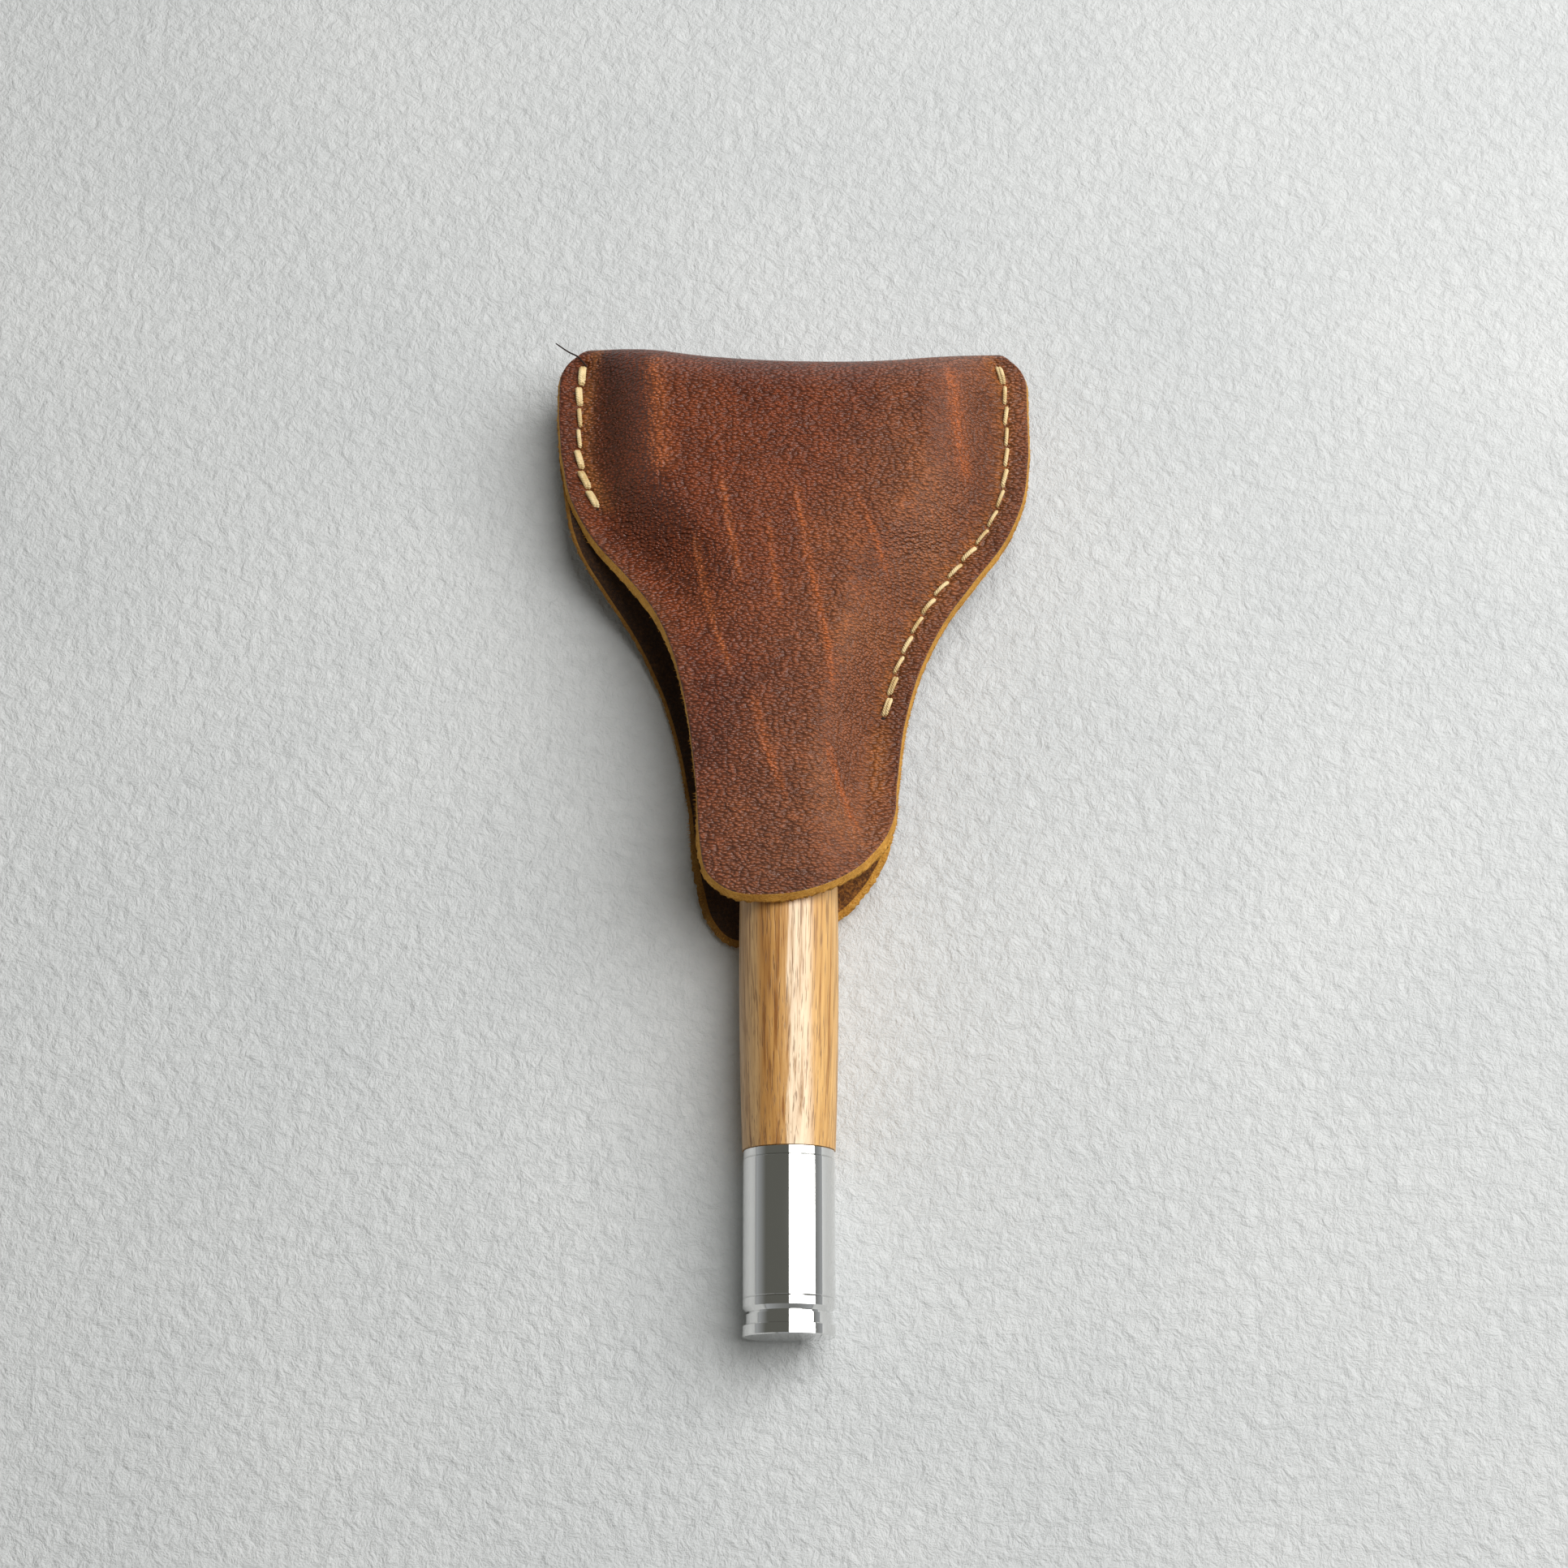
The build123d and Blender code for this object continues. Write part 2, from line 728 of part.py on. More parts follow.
with BuildPart() as guard_strip:
    with BuildSketch(Plane.XY.offset(slab_top - seat_depth)):
        with Locations((razor_x, guard_strip_y)):
            Rectangle(2 * (window_half_width - blade_gap), guard_depth - 2 * blade_gap)
    extrude(amount=seat_depth - guard_rise)
    with BuildSketch(Plane.XY.offset(slab_top - guard_rise)):
        with Locations((razor_x, guard_strip_y)):
            with GridLocations(0, guard_depth / guard_fins, 1, guard_fins):
                Rectangle(2 * (window_half_width - blade_gap), guard_depth / guard_fins / 2)
    extrude(amount=2 * guard_rise)
keep(guard_strip, "guard_strip")

with BuildPart() as lubricating_strip:
    with BuildSketch(Plane.XY.offset(slab_top - seat_depth)):
        with Locations((razor_x, strip_y)):
            Rectangle(2 * (window_half_width - blade_gap), strip_depth - 2 * blade_gap)
    extrude(amount=seat_depth + strip_rise)
    fillet(lubricating_strip.faces().sort_by(Axis.Z)[-1].edges(), strip_rise)
keep(lubricating_strip, "lubricating_strip")

for side, name in ((-1, "left_clip"), (1, "right_clip")):
    with BuildPart() as clip:
        with BuildSketch(side_plane.offset(side * clip_centre)):
            add(clip_profile.sketch)
        extrude(amount=clip_width / 2, both=True)
    keep(clip, name)

plate_top = pivot_z - plate_drop
plate_bottom = plate_top - hub_plate
hub_step_y = head_front_y + hub_gap
with BuildPart() as cartridge_hub:
    with BuildSketch(side_plane):
        with BuildLine():
            Polyline(
                (head_front_y - hub_tongue_length, hub_tongue_z - hub_tongue_thick / 2),
                (hub_step_y, hub_tongue_z - hub_tongue_thick / 2),
                (hub_step_y, plate_bottom),
                (pivot_y, plate_bottom),
                (pivot_y, plate_top),
                (hub_step_y + hub_step, plate_top),
                (hub_step_y + hub_step, hub_tongue_z + hub_tongue_thick / 2),
                (head_front_y - hub_tongue_length, hub_tongue_z + hub_tongue_thick / 2),
                close=True,
            )
        make_face()
        with Locations((pivot_y, pivot_z)):
            Circle(hub_bar_radius)
    extrude(amount=hub_tongue_width / 2, both=True)
    with BuildSketch(side_plane):
        with Locations((pivot_y, pivot_z)):
            Circle(pin_radius)
    extrude(amount=lug_inner_x + lug_thick, both=True)
keep(cartridge_hub, "cartridge_hub")
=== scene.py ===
"""A leather travel sheath with a wooden-handled razor in it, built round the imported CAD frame.

The hide, its stitches and the coil behind the plunger are modelled here and replace their CAD solids.
The rest of the razor keeps its CAD shape and gets its materials. Lengths are in millimetres until a
mesh, lamp or camera is made. A side is -1 for the left and 1 for the right.
"""
import math
import random

import bpy
import numpy as np
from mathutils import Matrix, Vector


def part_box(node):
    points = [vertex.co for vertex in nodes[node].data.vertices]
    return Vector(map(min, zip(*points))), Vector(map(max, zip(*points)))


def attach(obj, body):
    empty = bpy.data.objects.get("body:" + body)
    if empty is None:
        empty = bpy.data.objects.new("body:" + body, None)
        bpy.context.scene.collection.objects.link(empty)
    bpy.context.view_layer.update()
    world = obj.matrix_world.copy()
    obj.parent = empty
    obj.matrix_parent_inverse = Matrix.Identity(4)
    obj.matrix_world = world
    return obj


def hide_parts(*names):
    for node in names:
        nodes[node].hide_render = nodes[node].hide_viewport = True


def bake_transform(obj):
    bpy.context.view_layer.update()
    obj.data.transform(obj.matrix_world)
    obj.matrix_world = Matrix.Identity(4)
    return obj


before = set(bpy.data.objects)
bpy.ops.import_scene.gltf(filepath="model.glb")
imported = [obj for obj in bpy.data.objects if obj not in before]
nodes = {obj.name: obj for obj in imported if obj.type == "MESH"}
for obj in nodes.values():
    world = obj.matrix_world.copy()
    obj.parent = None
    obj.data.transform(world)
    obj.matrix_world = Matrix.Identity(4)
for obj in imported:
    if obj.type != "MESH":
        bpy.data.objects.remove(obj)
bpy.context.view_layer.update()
MM = 0.001

# ---------------------------------------------------------------- places, from the frame
sheath_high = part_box("sheath_leather")[1] / MM
HALF_WIDTH = sheath_high.x
FOLD_Y = sheath_high.y
HEIGHT = sheath_high.z
SEAM_Z = HEIGHT / 2
barrel_low, barrel_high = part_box("wood_barrel")
RAZOR_X = (barrel_low.x + barrel_high.x) / 2 / MM

LEATHER = 1.7
# Half the gap between the panels where they are sewn together.
SLIT = 0.05
CORNER = 5.2
LEFT_SEAM_END = 45.3
RIGHT_SEAM_END = 14.0
# The middle layer's distance from the sewn level: in the seam, and how much more it gets.
MID = SLIT + LEATHER / 2
RISE = HEIGHT / 2 - LEATHER / 2 - MID
# Width of the flat strip outside the pocket, and where the stitches run in it.
FLANGE = 4.2
STITCH_INSET = 3.4
STITCH_PITCH = 3.3
THREAD_RADIUS = 0.31
# How deep the stitches press the grain in.
SEAM_PRESS = 0.26
# The cut edge bulges this far out of the sheet's own edge, so the sheet stops this far short.
EDGE_BULGE = 0.5

# Half-width of the hide by height, the same on both sides before the panels spread.
SIDE_Y = [4.0, 14.0, 22.0, 29.0, 34.5, 40.5, 47.0, 54.0]
SIDE_X = [14.4, 15.8, 18.2, 21.7, 25.6, 30.0, 32.8, HALF_WIDTH]
# How far the front panel's left edge curls in, where no seam holds it, and the back's spreads.
TUCK_Y = [4.0, 14.0, 20.0, 26.0, 37.0, 43.0, 48.0, 54.0, 60.0]
TUCK_X = [1.0, 1.0, 1.2, 1.6, 1.9, 1.6, 1.1, 0.6, 0.1]
SPREAD_Y = [4.0, 14.0, 29.0, 38.0, 43.0, 48.0, 54.0, 60.0]
SPREAD_X = [0.2, 0.8, 0.9, 0.7, 0.1, -0.7, -0.5, -0.1]
# The fold sags between its corners, which stand a little higher than the CAD solid's.
SAG_X = [-34.0, -27.0, -12.0, 2.0, 18.0, 28.0, 34.0]
SAG_Y = [-1.4, -1.4, 0.5, 1.3, 0.8, -0.6, -0.8]
# The two lips, from the left side round to the right.
FRONT_LIP = [
    (-12.4, -2.0), (-12.0, -6.0), (-11.2, -9.6), (-8.6, -12.0), (-3.0, -12.8),
    (1.8, -12.1), (6.2, -10.1), (9.6, -7.3), (12.2, -3.8), (13.5, -0.4),
]
BACK_LIP = [
    (-13.2, -3.0), (-12.2, -8.0), (-10.9, -12.2), (-8.8, -14.6), (-5.0, -15.2),
    (-0.5, -14.5), (4.0, -12.6), (7.8, -9.8), (10.6, -6.2), (12.9, -1.4),
]
TONGUE_TOP = 20.0
TONGUE_SIDE = 4.0

COLUMNS = 150
TONGUE_ROWS = 76
PANEL_ROWS = 92
FOLD_ROWS = 26


def smooth(value):
    """The smoothstep of value, held between 0 and 1."""
    value = np.clip(value, 0, 1)
    return value * value * (3 - 2 * value)


def through(xs, ys, at):
    """A smooth curve through points with rising xs, evaluated at an array."""
    xs, ys = np.array(xs, float), np.array(ys, float)
    slopes = np.gradient(ys, xs)
    at = np.clip(np.asarray(at, float), xs[0], xs[-1])
    index = np.clip(np.searchsorted(xs, at, side="right") - 1, 0, len(xs) - 2)
    span = xs[index + 1] - xs[index]
    t = (at - xs[index]) / span
    return (
        (2 * t**3 - 3 * t**2 + 1) * ys[index]
        + (t**3 - 2 * t**2 + t) * span * slopes[index]
        + (-2 * t**3 + 3 * t**2) * ys[index + 1]
        + (t**3 - t**2) * span * slopes[index + 1]
    )


def wobble(x, y, scale, seed):
    """Cheap repeatable noise: a sum of slanted sine waves, about -1 to 1."""
    total = 0
    for turn, strength in ((0.4, 1.0), (1.7, 0.8), (2.9, 0.6), (4.3, 0.5)):
        along = math.cos(turn + seed) * x + math.sin(turn + seed) * y
        total = total + strength * np.sin(along / scale * (1 + 0.37 * turn) + 5 * seed + turn)
    return total / 2.9


def side_width(y):
    """Half the hide's width at y, before its corners are rounded."""
    return through(SIDE_Y, SIDE_X, y)


def side_cosine(y):
    """Cosine of the side's slope at y, which turns a sideways distance into a true one."""
    slope = (side_width(y + 0.5) - side_width(y - 0.5)) / 1.0
    return 1 / np.sqrt(1 + slope**2)


def inset(x, y, side):
    """Distance in from one side's edge."""
    return (side_width(y) - side * x) * side_cosine(y)


def edge_x(y, side, front):
    """Where the hide's edge is at y, on the right (side 1) or the left (side -1)."""
    width = side_width(y) - EDGE_BULGE
    if side < 0:
        width = width - through(TUCK_Y, TUCK_X, y) if front else width + through(SPREAD_Y, SPREAD_X, y)
    top = FOLD_Y - LEATHER / 2 - (SAG_Y[0] if side < 0 else SAG_Y[-1])
    reach = np.clip((y - top + CORNER) / CORNER, 0, 1)
    return side * (width - CORNER * (1 - np.sqrt(1 - reach**2)))


def opening(y, side, front):
    """How far one side stands open at y: 0 where it is sewn, 1 where the panels lie flat apart."""
    if side < 0:
        return smooth((LEFT_SEAM_END - 0.6 - y) / (27 if front else 24))
    return smooth((RIGHT_SEAM_END - 0.4 - y) / (34 if front else 30))


def bulge(x, y, front):
    """How far a panel's middle layer stands off the level it has in the seam."""
    share = 1.0
    for side in (-1, 1):
        run = 8.2 + 3.6 * smooth((side_width(y) - 17) / 12)
        flank = smooth((inset(x, y, side) - FLANGE) / run)
        gape = opening(y, side, front)
        share = share * (gape + (1 - gape) * flank)
    height = RISE * share
    if front:
        # The tongue arches over the handle, and the panel between the seams sinks a little.
        arch = ((x - RAZOR_X) / 14) ** 2 * smooth((30 - y) / 24)
        height = height - 1.3 * np.minimum(arch, 1.2) * share
        dip = np.exp(-((x / 15) ** 2) - ((y - 40) / 11) ** 2)
        height = height - 0.35 * dip * share
        pucker = np.exp(-(((inset(x, y, -1) - 3.5) / 4.0) ** 2)) * smooth((y - 44) / 4)
        height = height + 0.10 * pucker * np.sin(y * 1.9 + 0.6 * np.sin(y * 0.7)) * share
        height = height + 0.07 * wobble(x, y, 5.0, 1) * share
    return height


def fold_line(x):
    """Height of the middle layer's fold at x: the corners stand higher than the middle."""
    return FOLD_Y - LEATHER / 2 - through(SAG_X, SAG_Y, x)


def fold_depth(x, front):
    """How far before the fold the panel starts to turn over."""
    return MID + 6.2 * np.clip(bulge(x, FOLD_Y - 6 + 0 * x, front) / RISE, 0, 1)


def panel_point(x, y, front):
    """The middle layer at (x, y) on a panel."""
    sign = 1 if front else -1
    return np.stack([x, y, SEAM_Z + sign * (MID + bulge(x, y, front))], axis=-1)


def fold_point(x, angle):
    """The middle layer at x on the fold, by angle from the front panel over to the back one."""
    front_depth, back_depth = fold_depth(x, True), fold_depth(x, False)
    front_high = MID + bulge(x, fold_line(x) - front_depth, True)
    back_high = MID + bulge(x, fold_line(x) - back_depth, False)
    upper = angle < math.pi / 2
    depth = np.where(upper, front_depth, back_depth)
    high = np.where(upper, front_high, back_high)
    y = fold_line(x) - depth + depth * np.sin(angle)
    return np.stack([x, y, SEAM_Z + high * np.cos(angle)], axis=-1)


def lip_curve(points, share):
    """Points of a lip, evenly spaced from its first point to its last."""
    points = np.array(points)
    steps = np.r_[0, np.cumsum(np.linalg.norm(np.diff(points, axis=0), axis=1))]
    at = share * steps[-1]
    return through(steps, points[:, 0], at), through(steps, points[:, 1], at)


def tongue_grid(front):
    """(x, y) rows from the lip up to the tongue's top, each row a little less curved."""
    share = np.linspace(0, 1, COLUMNS)
    sides = [(edge_x(np.array(TONGUE_SIDE), s, front), TONGUE_SIDE) for s in (-1, 1)]
    lip = [tuple(map(float, sides[0]))] + (FRONT_LIP if front else BACK_LIP)
    lip.append(tuple(map(float, sides[1])))
    lip_x, lip_y = lip_curve(lip, share)
    base_x = lip[0][0] + (lip[-1][0] - lip[0][0]) * share
    rows_x, rows_y = [], []
    for step in range(TONGUE_ROWS):
        up = step / TONGUE_ROWS
        y = TONGUE_SIDE + (TONGUE_TOP - TONGUE_SIDE) * up**1.35
        bend = (1 - up) ** 1.15
        left, right = edge_x(np.array(y), -1, front), edge_x(np.array(y), 1, front)
        rows_x.append(left + (right - left) * share + bend * (lip_x - base_x))
        rows_y.append(y + bend * (lip_y - TONGUE_SIDE))
    return np.array(rows_x), np.array(rows_y)


def settled_edge(surface, side, front):
    """The edge's x on a row of a surface whose y depends on x."""
    x = np.array(side * (HALF_WIDTH - 1.0))
    for _ in range(30):
        x = 0.5 * x + 0.5 * edge_x(surface(x, 0.0)[..., 1], side, front)
    return x


def between_edges(surface, front):
    """The xs of a row, from its left edge to its right."""
    left, right = [settled_edge(surface, side, front) for side in (-1, 1)]
    return left + (right - left) * np.linspace(0, 1, COLUMNS)


# A row is a surface and its xs. A surface gives the point at x, moved by shift along the hide.


def tongue_rows(front):
    """Rows of one panel from its lip up to the tongue's top."""
    return [
        (lambda x, shift, ys=ys: panel_point(x, ys + shift, front), xs)
        for xs, ys in zip(*tongue_grid(front))
    ]


def panel_rows(front):
    """Rows of one panel from the tongue's top up to where it starts to turn over."""
    rows = []
    for step in range(PANEL_ROWS):

        def surface(x, shift, up=step / PANEL_ROWS):
            """A row a share of the way up the panel."""
            top = fold_line(x) - fold_depth(x, front)
            return panel_point(x, TONGUE_TOP + (top - TONGUE_TOP) * up + shift, front)

        rows.append((surface, between_edges(surface, front)))
    return rows


def fold_rows():
    """Rows over the fold, from the back panel to the front one."""
    rows = []
    for step in range(FOLD_ROWS + 1):

        def surface(x, shift, angle=math.pi * (1 - step / FOLD_ROWS)):
            """A row at one angle round the fold."""
            return fold_point(x, np.clip(angle - shift / 6, 0, math.pi) + 0 * x)

        rows.append((surface, between_edges(surface, True)))
    return rows


def measured_row(surface, xs):
    """(points, normals) of one row. The normals point away from the pocket."""
    step = 0.02
    points = surface(xs, 0.0)
    across = surface(xs + step, 0.0) - surface(xs - step, 0.0)
    along = surface(xs, step) - surface(xs, -step)
    normals = np.cross(across, along)
    normals /= np.linalg.norm(normals, axis=-1, keepdims=True)
    outward = points - np.array([0, np.minimum(points[:, 1].max(), 60), SEAM_Z])
    inward = (normals * outward * np.array([0, 0.2, 1])).sum(axis=1) < 0
    return points, np.where(inward[:, None], -normals, normals)


def hide_rows():
    """(points, normals) of every row, from the back lip over the fold to the front lip."""
    back = tongue_rows(False) + panel_rows(False)
    front = tongue_rows(True) + panel_rows(True)
    return [measured_row(surface, xs) for surface, xs in back + fold_rows() + front[::-1]]


# Marks where the hide was stretched, each from its upper end to its lower, and its half-width.
STRETCH_MARKS = [
    (0.45, [(-10.2, 49.3), (-8.8, 40.2), (-7.1, 30.6)]),
    (0.55, [(0.2, 47.5), (2.7, 31.9), (4.7, 22.8), (5.4, 14.5)]),
    (0.50, [(7.8, 47.0), (10.7, 40.2), (13.8, 32.0)]),
    (0.45, [(-13.9, 40.2), (-11.6, 28.8), (-8.0, 17.0)]),
    (0.50, [(-5.7, 15.8), (-2.9, 5.4), (-0.6, -1.0)]),
    (0.50, [(4.2, 10.0), (6.1, 3.1), (9.2, -5.0)]),
    (1.5, [(-19.6, 68.0), (-19.0, 57.0), (-18.2, 47.0)]),
    (1.1, [(22.0, 67.0), (23.2, 57.0), (24.4, 47.0)]),
    (0.35, [(-3.5, 43.0), (-2.8, 35.0), (-1.6, 26.0)]),
]


def stretch_marks(x, y):
    """How strongly a stretch mark shows at each point."""
    strength = np.zeros_like(x)
    for width, route in STRETCH_MARKS:
        route = np.array(route)
        middle = through(-route[:, 1], route[:, 0], -y)
        ends = smooth((route[0, 1] - y) / 3.0) * smooth((y - route[-1, 1]) / 4.0)
        strength = np.maximum(strength, np.exp(-(((x - middle) / width) ** 2)) * ends)
    return strength


def worn(x, y):
    """How far the colour is rubbed back to rust: beside the stitches and on the open neck."""
    wear = np.zeros_like(x)
    for side, low in ((-1, LEFT_SEAM_END - 1.3), (1, RIGHT_SEAM_END - 1.0)):
        middle = seam_inset(y, side) + (1.0 if side < 0 else 0.3)
        beside = np.exp(-(((inset(x, y, side) - middle) / 1.2) ** 2))
        wear = np.maximum(wear, beside * smooth((y - low) / 2.5) * (0.95 if side < 0 else 0.85))
    neck = np.exp(-((inset(x, y, 1) - 3.2) ** 2) / 2.0) * smooth((15 - y) / 3) * smooth((y + 1) / 5)
    return np.maximum(wear, 0.7 * neck)


def bend_shade_and_dark_edge(x, y):
    """How much darker the colour gets: painted shade in the bend beside the left seam and, fainter,
    beside the right one; darker along the cut edge and outside the right seam.
    """
    # The bends beside the seams get painted shade; the cut edge and the strip outside the right seam
    # are darker.
    bend = np.exp(-(((inset(x, y, -1) - 7.6) / 2.4) ** 2)) * smooth((y - 40) / 8)
    other = 0.35 * np.exp(-(((inset(x, y, 1) - 7.0) / 2.4) ** 2)) * smooth((y - 20) / 8)
    rim = np.minimum(inset(x, y, -1), inset(x, y, 1))
    flange = 0.5 * smooth(seam_inset(y, 1) - inset(x, y, 1)) * smooth((y - 10) / 5)
    return np.maximum(np.maximum(bend, other), np.maximum(flange, np.exp(-((rim / 0.9) ** 2))))


def painted_gloss(x, y):
    """How much painted gloss the grain's colour gets: least at the upper left corner, most to the right
    and on the tongue; the left flange gets some too.
    """
    flange = smooth((4.2 - inset(x, y, -1)) / 1.5)
    return np.clip(np.maximum(0.42 + x / 32 + (40 - y) / 75, 0.5 * flange), 0, 1)


def shaded(x, z):
    """How much painted shade darkens the back panel's flesh side and edge: most where the left side
    stands open.
    """
    return smooth((-3 - x) / 5) * (z < SEAM_Z)


def seam_inset(y, side):
    """How far in from the edge the stitches run: they bend in at the top, and lower left."""
    top_bend = (0.12 if side > 0 else 0.06) * np.maximum(0, y - 64.0) ** 1.7
    return STITCH_INSET + top_bend + (1.3 * smooth((54 - y) / 8) if side < 0 else 0)


def seam_point(y, side):
    """(x, y) on the line of a seam."""
    return side * (side_width(y) - seam_inset(y, side) / side_cosine(y)), y


def seam_holes(side, low):
    """Evenly spaced needle holes along a seam, from the top down."""
    ys = np.linspace(FOLD_Y - 1.6, low, 400)
    xs = seam_point(ys, side)[0]
    steps = np.r_[0, np.cumsum(np.hypot(np.diff(xs), np.diff(ys)))]
    count = round(steps[-1] / STITCH_PITCH)
    at = np.interp(np.linspace(0, steps[-1], count + 1), steps, ys)
    return [(float(seam_point(y, side)[0]), float(y)) for y in at]


HOLES = {-1: seam_holes(-1, LEFT_SEAM_END + 0.4), 1: seam_holes(1, RIGHT_SEAM_END + 0.3)}


def pressed(points):
    """How deep the thread and its needle holes press the grain in at each point."""
    x, y = points[:, 0], points[:, 1]
    depth = np.zeros(len(points))
    for side, low in ((-1, LEFT_SEAM_END), (1, RIGHT_SEAM_END - 0.1)):
        groove = np.exp(-(((inset(x, y, side) - seam_inset(y, side)) / 0.75) ** 2))
        groove *= smooth((y - low) / 1.5) * smooth((FOLD_Y - 0.6 - y) / 1.5)
        depth += SEAM_PRESS * groove
        for hole_x, hole_y in HOLES[side]:
            near = ((x - hole_x) ** 2 + (y - hole_y) ** 2) / 0.45**2
            depth += 0.42 * np.exp(-near)
    return depth


# From the grain's edge to the flesh's: (share of the thickness, distance beyond the edge).
EDGE_PROFILE = [
    (0.03, 0.09), (0.10, 0.17), (0.20, 0.22), (0.38, 0.28), (0.58, 0.36), (0.80, 0.46), (0.97, 0.52),
]
# How unevenly the flesh's end of that profile is cut, as a share of the distance.
EDGE_FRAY = 0.16
# The order of the hide's materials.
GRAIN, CUT, SUEDE = 0, 1, 2


def make_mesh(name, vertices, faces, materials, face_materials=None):
    """A smooth-shaded mesh object from vertices in millimetres."""
    mesh = bpy.data.meshes.new(name)
    mesh.from_pydata([tuple(v * MM for v in p) for p in vertices], [], faces)
    for material in materials:
        mesh.materials.append(material)
    if face_materials is not None:
        mesh.polygons.foreach_set("material_index", face_materials)
    mesh.polygons.foreach_set("use_smooth", [True] * len(mesh.polygons))
    mesh.validate()
    mesh.update()
    piece = bpy.data.objects.new(name, mesh)
    bpy.context.scene.collection.objects.link(piece)
    return piece


def edge_ring(count):
    """The (row, column) places round the hide's outline."""
    ring = [(0, column) for column in range(COLUMNS)]
    ring += [(row, COLUMNS - 1) for row in range(1, count)]
    ring += [(count - 1, column) for column in range(COLUMNS - 2, -1, -1)]
    ring += [(row, 0) for row in range(count - 2, 0, -1)]
    return ring


def edge_directions(middle, normals, ring):
    """For each place in the ring, the direction out of the hide's edge."""
    edge, across = (np.array([grid[place] for place in ring]) for grid in (middle, normals))
    tangent = np.roll(edge, -2, axis=0) - np.roll(edge, 2, axis=0)
    outward = np.cross(tangent, across)
    outward /= np.linalg.norm(outward, axis=1, keepdims=True)
    last_row, last_column = len(middle) - 4, COLUMNS - 4
    inner = np.array([middle[min(max(r, 3), last_row), min(max(c, 3), last_column)] for r, c in ring])
    if np.median(np.sign((outward * (edge - inner)).sum(axis=1))) <= 0:
        outward *= -1
    outward[:, 2] *= 0.3
    return outward


def add_skins(faces, kinds, count):
    """Adds the faces of the grain side and, turned over, of the flesh side."""
    for row in range(count - 1):
        for column in range(COLUMNS - 1):
            corner = row * COLUMNS + column
            quad = (corner, corner + 1, corner + COLUMNS + 1, corner + COLUMNS)
            faces += [quad, tuple(count * COLUMNS + index for index in reversed(quad))]
            kinds += [GRAIN, SUEDE]


def add_cut_edge(vertices, faces, kinds, ring, sides, outward, spread):
    """Adds the rounded, slightly frayed edge that joins the two sides, grain and flesh."""
    grain, flesh = sides
    rough = random.Random(4)
    corners = [row * COLUMNS + column for row, column in ring]
    loops = [corners]
    for depth, beyond in EDGE_PROFILE:
        first = len(vertices)
        for k, place in enumerate(ring):
            fray = 1 + (EDGE_FRAY * rough.uniform(-1, 1) if depth > 0.7 else 0)
            point = grain[place] + (flesh[place] - grain[place]) * depth
            vertices.append(tuple(point + outward[k] * beyond * fray * spread[k]))
        loops.append(list(range(first, len(vertices))))
    loops.append([len(grain) * COLUMNS + corner for corner in corners])
    for level, (upper, lower) in enumerate(zip(loops, loops[1:])):
        for k in range(len(ring)):
            n = (k + 1) % len(ring)
            faces.append((upper[k], lower[k], lower[n], upper[n]))
            kinds.append(GRAIN if level < 2 else CUT)


def paint(hide, places):
    """Stores on the hide how far each kind of wear, painted shade and painted gloss shows at each
    point.
    """
    x, y, z = places.T
    # The back is stretched less, because it lies flat.
    layers = {
        "stretch": stretch_marks(x, y) * np.where(z > SEAM_Z, 1.0, 0.3),
        "wear": worn(x, y),
        "dark": bend_shade_and_dark_edge(x, y),
        "painted_gloss": painted_gloss(x, y),
        "shade": shaded(x, z),
    }
    for name, values in layers.items():
        layer = hide.data.attributes.new(name, "FLOAT", "POINT")
        layer.data.foreach_set("value", values.astype(float))


def make_hide(materials):
    """The hide as one closed mesh, and its edge as (points, normals, outward directions)."""
    rows = hide_rows()
    middle, normals = (np.array(grid) for grid in zip(*rows))
    press = np.array([pressed(points) for points in middle])
    grain = middle + normals * (LEATHER / 2 - press)[..., None]
    flesh = middle - normals * LEATHER / 2

    ring = edge_ring(len(rows))
    outward = edge_directions(middle, normals, ring)
    edge_middle, edge_normal = (np.array([grid[place] for place in ring]) for grid in (middle, normals))
    # The edge is thicker round the lips.
    spread = 1 + 0.9 * smooth((2 - edge_middle[:, 1]) / 7)

    vertices = [tuple(point) for side in (grain, flesh) for point in side.reshape(-1, 3)]
    faces, kinds = [], []
    add_skins(faces, kinds, len(rows))
    add_cut_edge(vertices, faces, kinds, ring, (grain, flesh), outward, spread)
    hide = make_mesh("sheath_hide", vertices, faces, materials, kinds)
    paint(hide, np.array(vertices))
    return hide, (edge_middle, edge_normal, outward)


